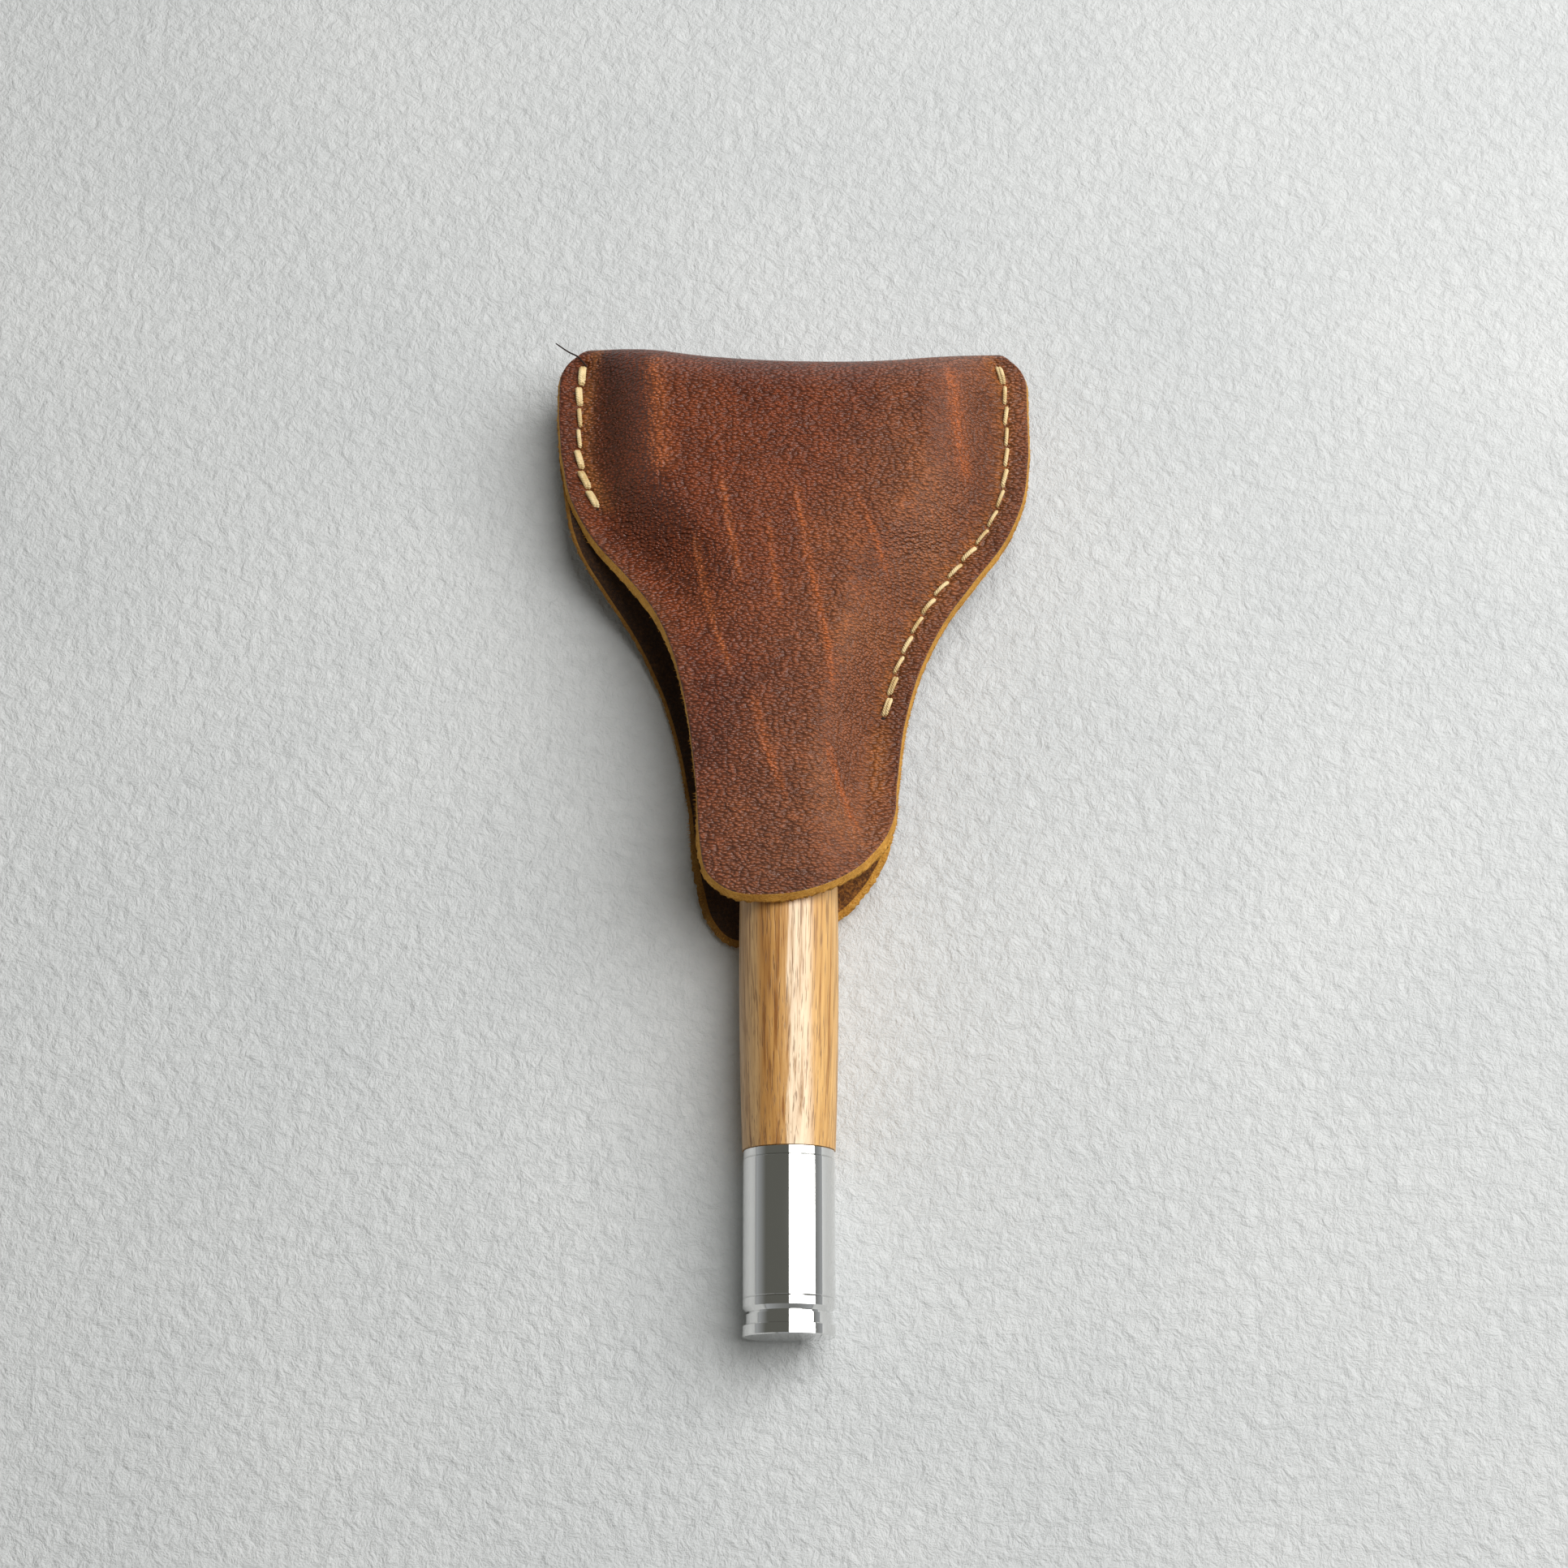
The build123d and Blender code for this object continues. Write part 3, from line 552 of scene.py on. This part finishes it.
# ---------------------------------------------------------------- materials
class Nodes:
    """A short way to write a material's node tree."""

    def __init__(self, name):
        """Starts a material with a plain shader."""
        self.material = bpy.data.materials.new(name)
        self.material.use_nodes = True
        self.tree = self.material.node_tree
        self.shader = self.tree.nodes["Principled BSDF"]

    def add(self, kind, **inputs):
        """Adds a node. An input is a value, or another node's output to link."""
        node = self.tree.nodes.new(kind)
        for key, value in inputs.items():
            if hasattr(node, key) and key not in node.inputs:
                setattr(node, key, value)
                continue
            self.wire(node.inputs[int(key[1:])] if key[0] == "_" else node.inputs[key], value)
        return node

    def wire(self, socket, value):
        """Links another node's output to a socket, or sets the socket to a value."""
        if isinstance(value, bpy.types.NodeSocket):
            self.tree.links.new(value, socket)
        else:
            socket.default_value = value

    def place(self, scale=(1, 1, 1), turn=(0, 0, 0)):
        """The object's own coordinates in millimetres, stretched and turned."""
        place = self.add("ShaderNodeTexCoord").outputs["Object"]
        spin = self.add("ShaderNodeMapping", Vector=place)
        spin.inputs["Rotation"].default_value = turn
        stretch = self.add("ShaderNodeMapping", Vector=spin.outputs[0])
        stretch.inputs["Scale"].default_value = [s / MM for s in scale]
        return stretch.outputs[0]

    def noise(self, where, scale=1.0, detail=3.0, rough=0.5, distort=0.0):
        """Cloudy noise, about 0.3 to 0.7."""
        node = self.add("ShaderNodeTexNoise", Vector=where)
        node.inputs["Scale"].default_value = scale
        node.inputs["Detail"].default_value = detail
        node.inputs["Roughness"].default_value = rough
        node.inputs["Distortion"].default_value = distort
        return node.outputs["Fac"]

    def cells(self, where, scale, smoothness):
        """Rounded cells, as distance from each cell's middle."""
        node = self.add("ShaderNodeTexVoronoi", Vector=where)
        node.feature = "SMOOTH_F1"
        node.inputs["Scale"].default_value = scale
        node.inputs["Smoothness"].default_value = smoothness
        return node.outputs["Distance"]

    def ramp(self, value, *stops):
        """A colour ramp; each stop is (place, colour or grey level)."""
        node = self.add("ShaderNodeValToRGB", Fac=value)
        elements = node.color_ramp.elements
        while len(elements) < len(stops):
            elements.new(0.5)
        for element, (place, colour) in zip(elements, stops):
            element.position = place
            grey = isinstance(colour, (int, float))
            element.color = (colour, colour, colour, 1) if grey else (*colour, 1)
        return node.outputs["Color"]

    def math(self, operation, first, second=0.0):
        """One operation on two values."""
        node = self.add("ShaderNodeMath")
        node.operation = operation
        self.wire(node.inputs[0], first)
        self.wire(node.inputs[1], second)
        return node.outputs[0]

    def mix(self, share, first, second, blend="MIX"):
        """The second colour laid over the first, by a share."""
        node = self.add("ShaderNodeMix")
        node.data_type = "RGBA"
        node.blend_type = blend
        self.wire(node.inputs[0], share)
        for socket, value in ((node.inputs[6], first), (node.inputs[7], second)):
            self.wire(socket, (*value, 1) if isinstance(value, tuple) and len(value) == 3 else value)
        return node.outputs[2]

    def painted(self, name):
        """A value stored on the mesh."""
        return self.add("ShaderNodeAttribute", attribute_name=name).outputs["Fac"]

    def bump(self, height, distance, strength=1.0, under=None):
        """Relief of a given depth in millimetres, on top of another relief."""
        node = self.add("ShaderNodeBump", Height=height)
        node.inputs["Distance"].default_value = distance * MM
        node.inputs["Strength"].default_value = strength
        if under is not None:
            self.wire(node.inputs["Normal"], under)
        return node.outputs[0]

    def finish(self, colour=None, rough=None, normal=None, **values):
        """Wires the shader and returns the material; values are the shader's other sockets."""
        for socket, value in (("Base Color", colour), ("Roughness", rough), ("Normal", normal)):
            if value is not None:
                if isinstance(value, tuple) and len(value) == 3:
                    value = (*value, 1)
                self.wire(self.shader.inputs[socket], value)
        for key, value in values.items():
            self.shader.inputs[key.replace("_", " ")].default_value = value
        return self.material


def leather_grain():
    """Oiled pull-up leather: red-brown, rust where it is stretched or rubbed, pebbled grain; painted
    reflections and painted shade are in its colour.
    """
    n = Nodes("leather_grain")
    broad = n.noise(n.place((0.040, 0.028, 0.04), (0, 0, -0.2)), 1.0, 3.0, 0.55, 0.3)
    mottle = n.noise(n.place((0.30, 0.22, 0.3)), 1.0, 5.0, 0.7, 0.4)
    base = n.ramp(
        broad,
        (0.30, (0.155, 0.036, 0.012)),
        (0.50, (0.225, 0.053, 0.016)),
        (0.70, (0.310, 0.080, 0.022)),
    )
    patches = n.ramp(
        mottle, (0.30, (0.72, 0.72, 0.76)), (0.52, (1.0, 1.0, 1.0)), (0.75, (1.32, 1.24, 1.12))
    )
    colour = n.mix(1.0, base, patches, "MULTIPLY")
    # Painted reflections: darker and redder at the upper left, paler and greyer to the right and on the
    # tongue.
    painted_gloss_tint = n.ramp(
        n.painted("painted_gloss"),
        (0.0, (0.80, 0.66, 0.55)),
        (0.4, (0.96, 0.94, 1.08)),
        (1.0, (1.40, 1.95, 2.6)),
    )
    colour = n.mix(1.0, colour, painted_gloss_tint, "MULTIPLY")
    broken = n.noise(n.place((0.9, 0.25, 0.5), (0, 0, -0.18)), 1.0, 5.0, 0.7, 0.8)
    streak = n.math("MULTIPLY", n.painted("stretch"), n.ramp(broken, (0.34, 0.30), (0.60, 1.0)))
    colour = n.mix(streak, colour, (0.55, 0.140, 0.034))
    rubbed = n.math("MULTIPLY", n.painted("wear"), n.ramp(mottle, (0.36, 0.25), (0.62, 1.0)))
    colour = n.mix(rubbed, colour, (0.46, 0.150, 0.034))
    # Painted shade in the bends beside the seams, and darker along the cut edge and outside the right
    # seam.
    colour = n.mix(n.math("MULTIPLY", n.painted("dark"), 0.26), colour, (0.085, 0.014, 0.003))
    warp = n.add("ShaderNodeVectorMath")
    warp.operation = "ADD"
    n.wire(warp.inputs[0], n.place((1.35, 2.8, 1.9), (0, 0, 0.06)))
    n.wire(warp.inputs[1], n.noise(n.place((0.5, 0.5, 0.5)), 1.0, 2.0))
    pebble = n.cells(warp.outputs[0], 1.1, 0.18)
    fine = n.noise(n.place((4.5, 7.0, 5.0)), 1.0, 2.0, 0.5)
    # Painted shade in the grain: darker in the valleys between the pebbles, paler on their tops as a
    # painted highlight.
    colour = n.mix(0.8, colour, n.ramp(pebble, (0.20, 1.22), (0.60, 0.40)), "MULTIPLY")
    height = n.math("ADD", n.math("MULTIPLY", pebble, -1.0), n.math("MULTIPLY", fine, 0.20))
    crease_place = n.place((0.50, 0.20, 0.4), (0, 0, -0.5))
    low = n.bump(n.noise(crease_place, 1.0, 3.0, 0.6, 0.8), 0.15, 0.6)
    normal = n.bump(height, 0.44, 1.0, low)
    rough = n.ramp(mottle, (0.3, 0.29), (0.7, 0.37))
    return n.finish(colour, rough, normal, Specular_IOR_Level=0.5)


def leather_cut():
    """The raw cut edge: golden tan fibres, browner on the back panel's open left side from painted
    shade.
    """
    n = Nodes("leather_cut_edge")
    fibre = n.noise(n.place((3.0, 3.0, 7.0)), 1.0, 4.0, 0.7)
    tone = n.noise(n.place((0.35, 0.35, 0.35)), 1.0, 3.0)
    colour = n.ramp(
        fibre, (0.25, (0.36, 0.140, 0.020)), (0.5, (0.72, 0.345, 0.058)), (0.75, (0.88, 0.55, 0.15))
    )
    shade = n.ramp(tone, (0.3, (0.72, 0.68, 0.62)), (0.6, (1.0, 1.0, 1.0)))
    colour = n.mix(1.0, colour, shade, "MULTIPLY")
    # Painted shade on the back panel's open left side.
    colour = n.mix(n.math("MULTIPLY", n.painted("shade"), 0.6), colour, (0.060, 0.022, 0.008))
    return n.finish(colour, 0.85, n.bump(fibre, 0.25, 0.9), Specular_IOR_Level=0.2)


def leather_suede():
    """The flesh side: brown suede with rusty nap, nearly black on the open left side from painted
    shade.
    """
    n = Nodes("leather_suede")
    nap = n.noise(n.place((2.4, 2.4, 2.4)), 1.0, 6.0, 0.75)
    tone = n.noise(n.place((0.2, 0.2, 0.2)), 1.0, 3.0)
    colour = n.ramp(
        nap, (0.32, (0.022, 0.009, 0.003)), (0.50, (0.21, 0.076, 0.017)), (0.70, (0.66, 0.270, 0.046))
    )
    shade = n.ramp(tone, (0.3, (0.7, 0.7, 0.7)), (0.7, (1.1, 1.1, 1.1)))
    colour = n.mix(1.0, colour, shade, "MULTIPLY")
    # Painted shade on the back panel's open left side.
    colour = n.mix(n.math("MULTIPLY", n.painted("shade"), 0.8), colour, (0.010, 0.004, 0.002))
    n.shader.inputs["Sheen Weight"].default_value = 0.35
    return n.finish(colour, 0.95, n.bump(nap, 0.3, 1.0), Specular_IOR_Level=0.15)


def thread_material():
    """Waxed cream thread, browner where it is rubbed, with painted highlights on its fibres."""
    n = Nodes("waxed_thread")
    fibre = n.noise(n.place((5.0, 5.0, 5.0)), 1.0, 3.0, 0.6)
    tone = n.noise(n.place((0.5, 0.5, 0.5)), 1.0, 2.0)
    colour = n.ramp(tone, (0.35, (0.58, 0.38, 0.14)), (0.6, (0.82, 0.63, 0.33)))
    # Pale flecks on the fibres are painted highlights.
    colour = n.mix(n.ramp(fibre, (0.4, 0.0), (0.7, 0.45)), colour, (0.90, 0.77, 0.48))
    return n.finish(colour, 0.55, n.bump(fibre, 0.08, 0.7), Specular_IOR_Level=0.4)


def oak_material():
    """Oiled oak: golden growth bands, a pale band beside them that is a painted highlight, brown pore
    lines along the grain.
    """
    n = Nodes("oiled_oak")
    lines = n.noise(n.place((1.9, 0.014, 1.9), (0, 0.3, 0.012)), 1.0, 4.0, 0.6, 0.3)
    pores = n.noise(n.place((4.6, 0.10, 4.6), (0, 0, 0.012)), 1.0, 2.0, 0.6)
    waver = n.noise(n.place((0.10, 0.022, 0.10)), 1.0, 2.0, 0.5)
    parts = n.add("ShaderNodeSeparateXYZ", Vector=n.place((1, 1, 1), (0, 0.35, 0.010)))
    layer = n.math("ADD", parts.outputs["X"], n.math("MULTIPLY", n.math("ADD", waver, lines), 2.2))
    # The pale stops from 0.51 to 0.66 are a painted highlight, a band fixed along the barrel's upper
    # right.
    colour = n.ramp(
        n.math("ADD", n.math("MULTIPLY", layer, 1 / 14), 0.03),
        (0.00, (0.58, 0.36, 0.17)),
        (0.18, (0.64, 0.40, 0.18)),
        (0.24, (0.50, 0.245, 0.070)),
        (0.40, (0.62, 0.330, 0.105)),
        (0.47, (0.66, 0.370, 0.130)),
        (0.51, (0.88, 0.690, 0.490)),
        (0.66, (0.86, 0.640, 0.430)),
        (0.71, (0.66, 0.380, 0.130)),
        (1.00, (0.74, 0.460, 0.190)),
    )
    streak = n.ramp(
        lines, (0.34, (0.50, 0.36, 0.22)), (0.46, (0.90, 0.85, 0.78)), (0.62, (1.08, 1.08, 1.06))
    )
    colour = n.mix(0.95, colour, streak, "MULTIPLY")
    pore = n.ramp(pores, (0.36, 1.0), (0.43, 0.0))
    colour = n.mix(n.math("MULTIPLY", pore, 0.7), colour, (0.20, 0.09, 0.030))
    fine = n.math("ADD", lines, n.math("MULTIPLY", pore, -0.6))
    rough = n.ramp(lines, (0.35, 0.45), (0.65, 0.36))
    return n.finish(colour, rough, n.bump(fine, 0.06, 0.6), Specular_IOR_Level=0.45)


def chrome_material():
    """Polished chrome with hairline wipe marks."""
    n = Nodes("polished_chrome")
    wipe = n.noise(n.place((0.5, 6.0, 0.5)), 1.0, 3.0, 0.6)
    smear = n.noise(n.place((0.12, 0.12, 0.12)), 1.0, 3.0)
    rough = n.ramp(smear, (0.35, 0.045), (0.7, 0.10))
    return n.finish((0.78, 0.78, 0.77), rough, n.bump(wipe, 0.004, 0.4), Metallic=1.0)


def metal_material(name, colour, rough, along):
    """Brushed or ground metal, with its lines along one axis."""
    n = Nodes(name)
    lines = n.noise(n.place(along), 1.0, 4.0, 0.65)
    tone = n.ramp(lines, (0.3, tuple(0.8 * c for c in colour)), (0.7, colour))
    level = n.ramp(lines, (0.3, rough * 0.8), (0.7, rough * 1.25))
    return n.finish(tone, level, n.bump(lines, 0.01, 0.5), Metallic=1.0)


def moulded_material(name, colour, rough, grain=0.03):
    """Moulded plastic or rubber, with a fine spark texture and slight unevenness of tone."""
    n = Nodes(name)
    spark = n.noise(n.place((7.0, 7.0, 7.0)), 1.0, 3.0, 0.6)
    tone = n.noise(n.place((0.3, 0.3, 0.3)), 1.0, 2.0)
    shade = n.ramp(tone, (0.3, tuple(0.85 * c for c in colour)), (0.7, tuple(1.1 * c for c in colour)))
    level = n.ramp(tone, (0.3, rough * 0.9), (0.7, min(1.0, rough * 1.15)))
    return n.finish(shade, level, n.bump(spark, grain, 0.5))


# ---------------------------------------------------------------- thread, fibres
def hermite_path(points, count):
    """Evenly stepped points of a smooth curve through a few points."""
    points = np.array(points)
    steps = np.r_[0, np.cumsum(np.linalg.norm(np.diff(points, axis=0), axis=1))]
    at = np.linspace(0, steps[-1], count)
    return np.stack([through(steps, points[:, axis], at) for axis in range(3)], axis=-1)


def add_strand(vertices, faces, path, radii, sides=7, up=(0.13, 0.21, 0.97)):
    """Adds a tube with one radius per path point, closed at both ends."""
    tangents = np.gradient(path, axis=0)
    tangents /= np.linalg.norm(tangents, axis=1, keepdims=True)
    first = len(vertices)
    for point, tangent, radius in zip(path, tangents, radii):
        across = np.cross(tangent, up)
        across /= np.linalg.norm(across)
        rise = np.cross(across, tangent)
        for k in range(sides):
            turn = 2 * math.pi * k / sides
            vertices.append(tuple(point + radius * (math.cos(turn) * across + math.sin(turn) * rise)))
    for i in range(len(path) - 1):
        for k in range(sides):
            n = (k + 1) % sides
            a, b = first + i * sides, first + (i + 1) * sides
            faces.append((a + k, a + n, b + n, b + k))
    faces.append(tuple(first + k for k in reversed(range(sides))))
    last = first + (len(path) - 1) * sides
    faces.append(tuple(last + k for k in range(sides)))


def add_twisted(vertices, faces, path, radius, twist=1.15, plies=3, phase=0.0):
    """Adds a thread of twisted plies along a path; twist is in turns per millimetre."""
    tangents = np.gradient(path, axis=0)
    tangents /= np.linalg.norm(tangents, axis=1, keepdims=True)
    steps = np.r_[0, np.cumsum(np.linalg.norm(np.diff(path, axis=0), axis=1))]
    taper = np.sqrt(np.clip(np.minimum(steps, steps[-1] - steps) / 0.35, 0.25, 1))
    across = np.cross(tangents, np.array([0.05, 0.08, 1.0]))
    across /= np.linalg.norm(across, axis=1, keepdims=True)
    rise = np.cross(across, tangents)
    for ply in range(plies):
        turn = 2 * math.pi * (ply / plies + twist * steps) + phase
        offset = across * np.cos(turn)[:, None] + rise * np.sin(turn)[:, None]
        strand = path + offset * (radius * 0.5 * taper)[:, None]
        add_strand(vertices, faces, strand, radius * 0.56 * taper)


def flange_surface(above):
    """Height of the flange's grain side under the stitches."""
    return SEAM_Z + (1 if above else -1) * (SLIT + LEATHER - SEAM_PRESS)


def stitch_path(start, finish, above, rise, sink, slant):
    """A stitch from hole to hole: it comes up, lies slightly slanted and goes down."""
    start, finish = np.array(start), np.array(finish)
    run = finish - start
    normal = np.array([-run[1], run[0]]) / np.linalg.norm(run)
    sign = 1 if above else -1
    level = flange_surface(above)
    # Each key is a share of the run, a height over the leather and a share of the slant.
    keys = (
        (0.10, -sink, -1.0),
        (0.17, 0.0, -0.9),
        (0.34, rise, -0.4),
        (0.66, rise, 0.4),
        (0.83, 0.0, 0.9),
        (0.90, -sink, 1.0),
    )
    points = []
    for share, height, lean in keys:
        flat = start + run * share + normal * slant * lean
        points.append((flat[0], flat[1], level + sign * height))
    return hermite_path(points, 26)


def make_seam(name, side, material):
    """The stitches of one seam on both faces, doubled where the sewing starts and ends."""
    holes = HOLES[side]
    chance = random.Random(11 if side > 0 else 23)
    vertices, faces = [], []
    doubled = {0, len(holes) - 3, len(holes) - 2}
    if side < 0:
        doubled |= {1, 4}
    for above in (True, False):
        for index, (start, finish) in enumerate(zip(holes, holes[1:])):
            radius = THREAD_RADIUS * chance.uniform(0.88, 1.12) * (1.18 if side < 0 else 1.0)
            slant = -0.15 * side * chance.uniform(0.6, 1.3)
            path = stitch_path(start, finish, above, 0.26, 0.7, slant)
            add_twisted(vertices, faces, path, radius, phase=chance.uniform(0, 6))
            if index in doubled:
                shift = chance.uniform(0.30, 0.40) * side
                second = stitch_path(start, finish, above, 0.45, 0.5, slant)
                second[:, 0] += shift
                add_twisted(vertices, faces, second, radius, phase=chance.uniform(0, 6))
    low, high = flange_surface(False), flange_surface(True)
    for hole_x, hole_y in holes:
        leg = np.array([(hole_x, hole_y, low + 0.5 + (high - low - 1.0) * k / 8) for k in range(9)])
        add_strand(vertices, faces, leg, [0.24] * 9)
    return make_mesh(name, vertices, faces, [material])


def make_needle_holes(name, material):
    """The open needle hole that each seam ends in, on both faces, as a dark plug of painted shade."""
    vertices, faces = [], []
    for holes in HOLES.values():
        hole_x, hole_y = holes[-1]
        for above in (True, False):
            level, sign = flange_surface(above), 1 if above else -1
            mouth = np.array([(hole_x, hole_y - 0.25, level + sign * z) for z in (-0.30, -0.14, 0.03)])
            add_strand(vertices, faces, mouth, [0.42, 0.42, 0.38], sides=12)
    return make_mesh(name, vertices, faces, [material])


def make_spring(name, node, material):
    """The coil behind the plunger, wound as its CAD solid is."""
    low, high = [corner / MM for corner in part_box(node)]
    pitch, wire = 0.72, 0.15
    radius = (high.x - low.x) / 2 - wire
    length = high.y - low.y - 2 * wire
    turn = np.linspace(0, 2 * math.pi * length / pitch, 240)
    path = np.stack([
        (low.x + high.x) / 2 + radius * np.cos(turn),
        low.y + wire + pitch * turn / (2 * math.pi),
        (low.z + high.z) / 2 + radius * np.sin(turn),
    ], axis=-1)
    vertices, faces = [], []
    # A hair thinner than the solid, so that it touches nothing at rest.
    add_strand(vertices, faces, path, [0.93 * wire] * len(path), sides=10, up=(0, 1, 0))
    return make_mesh(name, vertices, faces, [material])


def make_tail(name, material):
    """The thin thread end that stands out of the left corner."""
    start = np.array([-HALF_WIDTH + 4.2, FOLD_Y - 1.8, SEAM_Z + 1.7])
    points = [start, start + (-1.2, 1.2, 0.6), start + (-2.6, 2.1, 0.4), start + (-4.4, 3.2, 0.9)]
    vertices, faces = [], []
    add_strand(vertices, faces, hermite_path(points, 24), np.linspace(0.15, 0.09, 24))
    return make_mesh(name, vertices, faces, [material])


# A loose fibre's radius from its root to its tip.
FIBRE_RADII = (0.05, 0.045, 0.03, 0.012)


def make_fibres(name, edge, material):
    """Loose fibres of the flesh side that stick out of the cut edge, thickest round the lips."""
    middle, normal, outward = edge
    chance = random.Random(7)
    vertices, faces = [], []
    for index in range(len(middle)):
        lip = middle[index][1] < 2
        for _ in range(3 if lip else 1):
            if chance.random() > (0.75 if lip else 0.5):
                continue
            root = middle[index] - normal[index] * LEATHER * chance.uniform(0.25, 0.5)
            root = root + outward[index] * 0.42
            length = chance.uniform(0.15, 0.5) * (1.3 if lip else 0.8)
            drift = np.array([chance.uniform(-1, 1) for _ in range(3)]) * 0.35 * length
            tip = root + outward[index] * length + drift
            bend = (root + tip) / 2 + np.array([chance.uniform(-1, 1) for _ in range(3)]) * 0.08
            path = hermite_path([root, bend, tip], 4)
            add_strand(vertices, faces, path, FIBRE_RADII, sides=4)
    return make_mesh(name, vertices, faces, [material])


# ---------------------------------------------------------------- object
grain = leather_grain()
cut = leather_cut()
suede = leather_suede()
thread = thread_material()
# Near black: painted shade in the needle holes, and the thread tail's own dark colour.
hole_shade_and_dark_thread = moulded_material("needle_hole_shade_and_dark_thread", (0.018, 0.007, 0.004), 0.95)

hide, hide_edge = make_hide([grain, cut, suede])
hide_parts("sheath_leather")
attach(hide, "sheath")

for seam_name, seam_side, seam_node in (
    ("left_seam_stitches", -1, "left_seam_thread"),
    ("right_seam_stitches", 1, "right_seam_thread"),
):
    seam = make_seam(seam_name, seam_side, thread)
    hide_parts(seam_node)
    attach(seam, "sheath")

needle_holes = make_needle_holes("needle_holes", hole_shade_and_dark_thread)
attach(needle_holes, "sheath")

tail = make_tail("thread_tail", hole_shade_and_dark_thread)
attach(tail, "sheath")

fibres = make_fibres("edge_fibres", hide_edge, cut)
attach(fibres, "sheath")

chrome = chrome_material()
dark = moulded_material("dark_moulding", (0.030, 0.030, 0.034), 0.5)
grey = moulded_material("grey_moulding", (0.26, 0.27, 0.29), 0.45)
rubber = moulded_material("guard_rubber", (0.045, 0.048, 0.055), 0.75, 0.05)
soap = moulded_material("soap_strip", (0.50, 0.70, 0.60), 0.35)
steel = metal_material("blade_steel", (0.72, 0.73, 0.74), 0.22, (0.3, 8.0, 8.0))
brass = metal_material("drawn_brass", (0.72, 0.52, 0.24), 0.30, (6.0, 0.2, 6.0))
wire = metal_material("spring_wire", (0.56, 0.56, 0.57), 0.30, (6.0, 6.0, 6.0))
finishes = {
    "end_cap": chrome,
    "lower_sleeve": chrome,
    "trim_ring": chrome,
    "neck_ferrule": chrome,
    "wood_barrel": oak_material(),
    "brass_tube": brass,
    "head_block": dark,
    "cartridge_frame": dark,
    "cartridge_hub": grey,
    "plunger": grey,
    "release_button": grey,
    "guard_strip": rubber,
    "lubricating_strip": soap,
}
spring = make_spring("plunger_coil", "plunger_spring", wire)
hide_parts("plunger_spring")
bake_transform(spring)

for node_name, node in nodes.items():
    if node.hide_render:
        continue
    node.data.materials.clear()
    node.data.materials.append(finishes.get(node_name, steel))

# ---------------------------------------------------------------- stage, light, camera
def make_floor():
    """A plain pale floor."""
    n = Nodes("pale_floor")
    tone = n.noise(n.place((0.02, 0.02, 0.02)), 1.0, 4.0, 0.6)
    speck = n.noise(n.place((0.45, 0.45, 0.45)), 1.0, 5.0, 0.7, 0.3)
    colour = n.ramp(tone, (0.3, (0.61, 0.625, 0.63)), (0.7, (0.68, 0.69, 0.69)))
    n.finish(colour, 0.9, n.bump(speck, 1.7, 0.6), Specular_IOR_Level=0.15)
    half, level = 1500, -0.02
    corners = [(-half, -half, level), (half, -half, level), (half, half, level), (-half, half, level)]
    return make_mesh("floor", corners, [(0, 1, 2, 3)], [n.material])


def make_light(name, place, target, size, power, colour):
    """A soft area lamp aimed at a point; place, target and size are in millimetres."""
    data = bpy.data.lights.new(name, "AREA")
    data.shape = "RECTANGLE"
    data.size, data.size_y = size[0] * MM, size[1] * MM
    data.energy = power
    data.color = colour
    lamp = bpy.data.objects.new(name, data)
    lamp.location = Vector(place) * MM
    lamp.rotation_euler = (Vector(target) - Vector(place)).to_track_quat("-Z", "Y").to_euler()
    bpy.context.scene.collection.objects.link(lamp)


def make_world():
    """A studio room: pale at the horizon, dimmer overhead, so that chrome has something to show."""
    world = bpy.data.worlds.new("studio")
    world.use_nodes = True
    tree = world.node_tree
    background = tree.nodes["Background"]
    place = tree.nodes.new("ShaderNodeTexCoord")
    split = tree.nodes.new("ShaderNodeSeparateXYZ")
    ramp = tree.nodes.new("ShaderNodeValToRGB")
    tree.links.new(place.outputs["Generated"], split.inputs[0])
    tree.links.new(split.outputs["Z"], ramp.inputs["Fac"])
    tree.links.new(ramp.outputs["Color"], background.inputs["Color"])
    elements = ramp.color_ramp.elements
    elements[0].position, elements[0].color = 0.05, (0.62, 0.64, 0.65, 1)
    elements[1].position, elements[1].color = 0.5, (0.20, 0.20, 0.175, 1)
    background.inputs["Strength"].default_value = 0.6
    bpy.context.scene.world = world


def make_camera():
    """The camera looks from the handle's side, steeply down, at a point beside the neck."""
    data = bpy.data.cameras.new("camera")
    data.sensor_width, data.lens = 36, 65.2
    data.clip_start, data.clip_end = 0.01, 20
    camera = bpy.data.objects.new("camera", data)
    elevation, distance = math.radians(71), 398
    target = Vector((-1.25, 8.2, 0))
    back = Vector((0, -math.cos(elevation), math.sin(elevation)))
    camera.location = (target + back * distance) * MM
    camera.rotation_euler = (-back).to_track_quat("-Z", "Y").to_euler()
    bpy.context.scene.collection.objects.link(camera)
    bpy.context.scene.camera = camera


make_floor()
make_light(
    "window",
    place=(385, 150, 600),
    target=(0, 20, 0),
    size=(640, 900),
    power=8.4,
    colour=(1.0, 0.995, 0.985),
)
make_world()
make_camera()
bpy.context.scene.view_settings.view_transform = "Standard"
